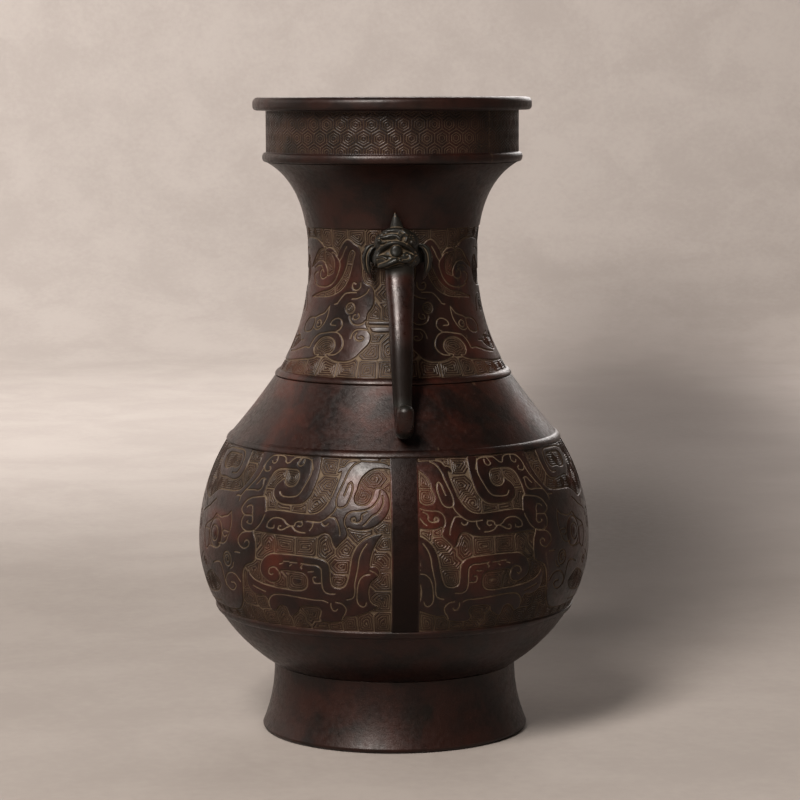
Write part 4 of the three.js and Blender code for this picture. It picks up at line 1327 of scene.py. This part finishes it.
def close_ends(mesh):
    """Caps the two end rings of a tube."""
    work = bmesh.new()
    work.from_mesh(mesh)
    open_edges = [edge for edge in work.edges if edge.is_boundary]
    bmesh.ops.holes_fill(work, edges=open_edges)
    bmesh.ops.recalc_face_normals(work, faces=work.faces)
    work.to_mesh(mesh)
    work.free()


def join_meshes(name, meshes):
    work = bmesh.new()
    for mesh in meshes:
        close_ends(mesh)
        work.from_mesh(mesh)
    joined = bpy.data.meshes.new(name)
    work.to_mesh(joined)
    work.free()
    for mesh in meshes:
        bpy.data.meshes.remove(mesh)
    return joined


def melted(mesh, voxel, smoothing):
    """One closed skin round all the parts of a mesh."""
    blank = bpy.data.objects.new(mesh.name + "_blank", mesh)
    bpy.context.scene.collection.objects.link(blank)
    remesh = blank.modifiers.new("skin", "REMESH")
    remesh.mode = "VOXEL"
    remesh.voxel_size = voxel * MILLIMETRE
    smooth = blank.modifiers.new("soften", "SMOOTH")
    smooth.factor = 0.5
    smooth.iterations = smoothing
    graph = bpy.context.evaluated_depsgraph_get()
    skin = bpy.data.meshes.new_from_object(blank.evaluated_get(graph))
    bpy.data.objects.remove(blank)
    return skin


def vertex_values(mesh, name):
    values = np.zeros(len(mesh.vertices) * 3, np.float32)
    mesh.vertices.foreach_get(name, values)
    return values.reshape(-1, 3)


def turn_face(mesh):
    """Leans the face a little to one side, the more the further it stands out."""
    points = vertex_values(mesh, "co") / MILLIMETRE
    points[:, 1] += FACE_TURN * np.maximum(points[:, 0] - WAIST_RADIUS, 0)
    mesh.vertices.foreach_set("co", (points * MILLIMETRE).ravel())
    return mesh


def head_dust(mesh):
    """Dust in the carving's hollows: where a point lies below the mean of its neighbourhood."""
    count = len(mesh.vertices)
    points = vertex_values(mesh, "co")
    normals = vertex_values(mesh, "normal")
    edges = np.zeros(len(mesh.edges) * 2, np.int32)
    mesh.edges.foreach_get("vertices", edges)
    edges = edges.reshape(-1, 2)
    neighbours = np.bincount(edges.ravel(), minlength=count)[:, None]
    mean = points.copy()
    start, end = edges.T
    for _ in range(20):
        forward = [np.bincount(start, place[end], count) for place in mean.T]
        backward = [np.bincount(end, place[start], count) for place in mean.T]
        mean = np.add(forward, backward).T / neighbours
    hollow = ((mean - points) * normals).sum(-1) / MILLIMETRE
    dust = smooth_step(0.0, 0.24, hollow)
    mesh.attributes.new("dust", "FLOAT", "POINT").data.foreach_set("value", dust.astype(np.float32))


def head_mesh():
    parts = [skull_mesh(), crest_mesh(), tenon_mesh()]
    for side in (-1, 1):
        parts += [ear_mesh(side), ear_plate_mesh(side)]
    return turn_face(melted(join_meshes("head_blank", parts), 0.3, 2))


head_master = head_mesh()
for side, turn in (("right", 0.0), ("left", math.pi)):
    head = head_master.copy()
    head.name = f"head_{side}"
    head.transform(Matrix.Rotation(turn, 4, "Z"))
    head.shade_smooth()
    head_dust(head)
    add_piece(head, handle_bronze, f"handle_head_{side}")
    add_piece(trunk_mesh(f"trunk_{side}", turn), handle_bronze, f"handle_trunk_{side}")
bpy.data.meshes.remove(head_master)

# Fittings keep their modelled shapes
for node in ("base_plate", "head_pin_right", "head_pin_left", "tail_rivet_right", "tail_rivet_left"):
    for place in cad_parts[node].material_slots:
        place.material = fitting_bronze

# Floor and wall in one round sweep, wide enough for a camera on any side

FLOOR_RADIUS = 2.5
SWEEP_RADIUS = 0.9
WALL_TOP = 3.0


def stage_mesh():
    sweep = [
        (FLOOR_RADIUS + SWEEP_RADIUS * math.sin(t), SWEEP_RADIUS * (1 - math.cos(t)))
        for t in np.linspace(0, math.pi / 2, 24)
    ]
    floor = [(radius, 0.0) for radius in (0.002, 0.1, 0.3, 0.6, 1.0, 1.5, 2.0)]
    profile = np.array([*floor, *sweep, (FLOOR_RADIUS + SWEEP_RADIUS, WALL_TOP)]) / MILLIMETRE
    mesh = grid_mesh("studio_sweep", revolved(profile[:, :1], profile[:, 1:], full_turn(144)))
    work = bmesh.new()
    work.from_mesh(mesh)
    centre = [edge for edge in work.edges if edge.is_boundary and edge.verts[0].co.length < 0.01]
    bmesh.ops.contextual_create(work, geom=centre)
    work.to_mesh(mesh)
    work.free()
    return mesh


sweep = bpy.data.objects.new("studio_sweep", stage_mesh())
sweep.data.materials.append(paper_with_painted_shadows())
bpy.context.scene.collection.objects.link(sweep)

# Light: a tall soft box to the left of the camera, weak fills from the left and from behind, a box that
# washes the wall behind the jar, and a dim even room

CAMERA_AZIMUTH = math.radians(-3.25)
JAR_MIDDLE = Vector((0, 0, 0.2))


def around_jar(azimuth, elevation, distance):
    """A place round the jar, azimuth in degrees from the camera's side, to the right when above 0."""
    turn = CAMERA_AZIMUTH + math.radians(azimuth)
    rise = math.radians(elevation)
    away = Vector((math.cos(turn) * math.cos(rise), math.sin(turn) * math.cos(rise), math.sin(rise)))
    return JAR_MIDDLE + away * distance


def soft_box(name, place, aim, size, power, colour):
    lamp = bpy.data.lights.new(name, "AREA")
    lamp.shape = "RECTANGLE"
    lamp.size, lamp.size_y = size
    lamp.energy = power
    lamp.color = colour
    light = bpy.data.objects.new(name, lamp)
    light.location = place
    light.rotation_euler = (place - aim).normalized().to_track_quat("Z", "Y").to_euler()
    bpy.context.scene.collection.objects.link(light)


soft_box("key_box", around_jar(-25, 42, 3.0), JAR_MIDDLE, (0.8, 1.6), 110, (1.0, 0.95, 0.90))
soft_box("left_fill", around_jar(-100, 25, 2.2), JAR_MIDDLE, (1.4, 1.6), 5, (1.0, 0.96, 0.92))
soft_box("back_fill", around_jar(165, 24, 2.6), JAR_MIDDLE, (1.6, 1.2), 20, (1.0, 0.97, 0.95))
wall_box, wall_aim = Vector((-1.1, -1.3, 1.9)), Vector((-3.4, -1.3, 1.2))
soft_box("wall_wash", wall_box, wall_aim, (2.2, 1.6), 91, (1.0, 0.98, 0.97))

world = bpy.data.worlds.new("room")
world.use_nodes = True
background = world.node_tree.nodes["Background"]
background.inputs["Color"].default_value = (1.0, 0.97, 0.95, 1)
background.inputs["Strength"].default_value = 0.05
bpy.context.scene.world = world

# Camera at the photograph's place, in metres and radians, with its lens in millimetres

CAMERA_DISTANCE = 1.84011
CAMERA_HEIGHT = 0.423619
CAMERA_PITCH = 0.110535811
CAMERA_YAW = 0.0023967
CAMERA_ROLL = -0.00398997
LENS = 125.138
SENSOR = 36.0

look = Vector((
    math.sin(CAMERA_YAW) * math.cos(CAMERA_PITCH),
    math.cos(CAMERA_YAW) * math.cos(CAMERA_PITCH),
    -math.sin(CAMERA_PITCH),
))
level_right = Vector((math.cos(CAMERA_YAW), -math.sin(CAMERA_YAW), 0))
level_up = level_right.cross(look)
right = level_right * math.cos(CAMERA_ROLL) + level_up * math.sin(CAMERA_ROLL)
up = level_up * math.cos(CAMERA_ROLL) - level_right * math.sin(CAMERA_ROLL)
pose = Matrix((right, up, -look)).transposed().to_4x4()
pose.translation = (0, -CAMERA_DISTANCE, CAMERA_HEIGHT)
lens = bpy.data.cameras.new("photo_camera")
lens.sensor_fit = "HORIZONTAL"
lens.sensor_width = SENSOR
lens.lens = LENS
lens.clip_end = 50
camera = bpy.data.objects.new("photo_camera", lens)
camera.matrix_world = Matrix.Rotation(math.pi / 2 + CAMERA_AZIMUTH, 4, "Z") @ pose
bpy.context.scene.collection.objects.link(camera)
bpy.context.scene.camera = camera

bpy.context.scene.view_settings.view_transform = "Standard"
bpy.context.scene.view_settings.look = "Medium High Contrast"
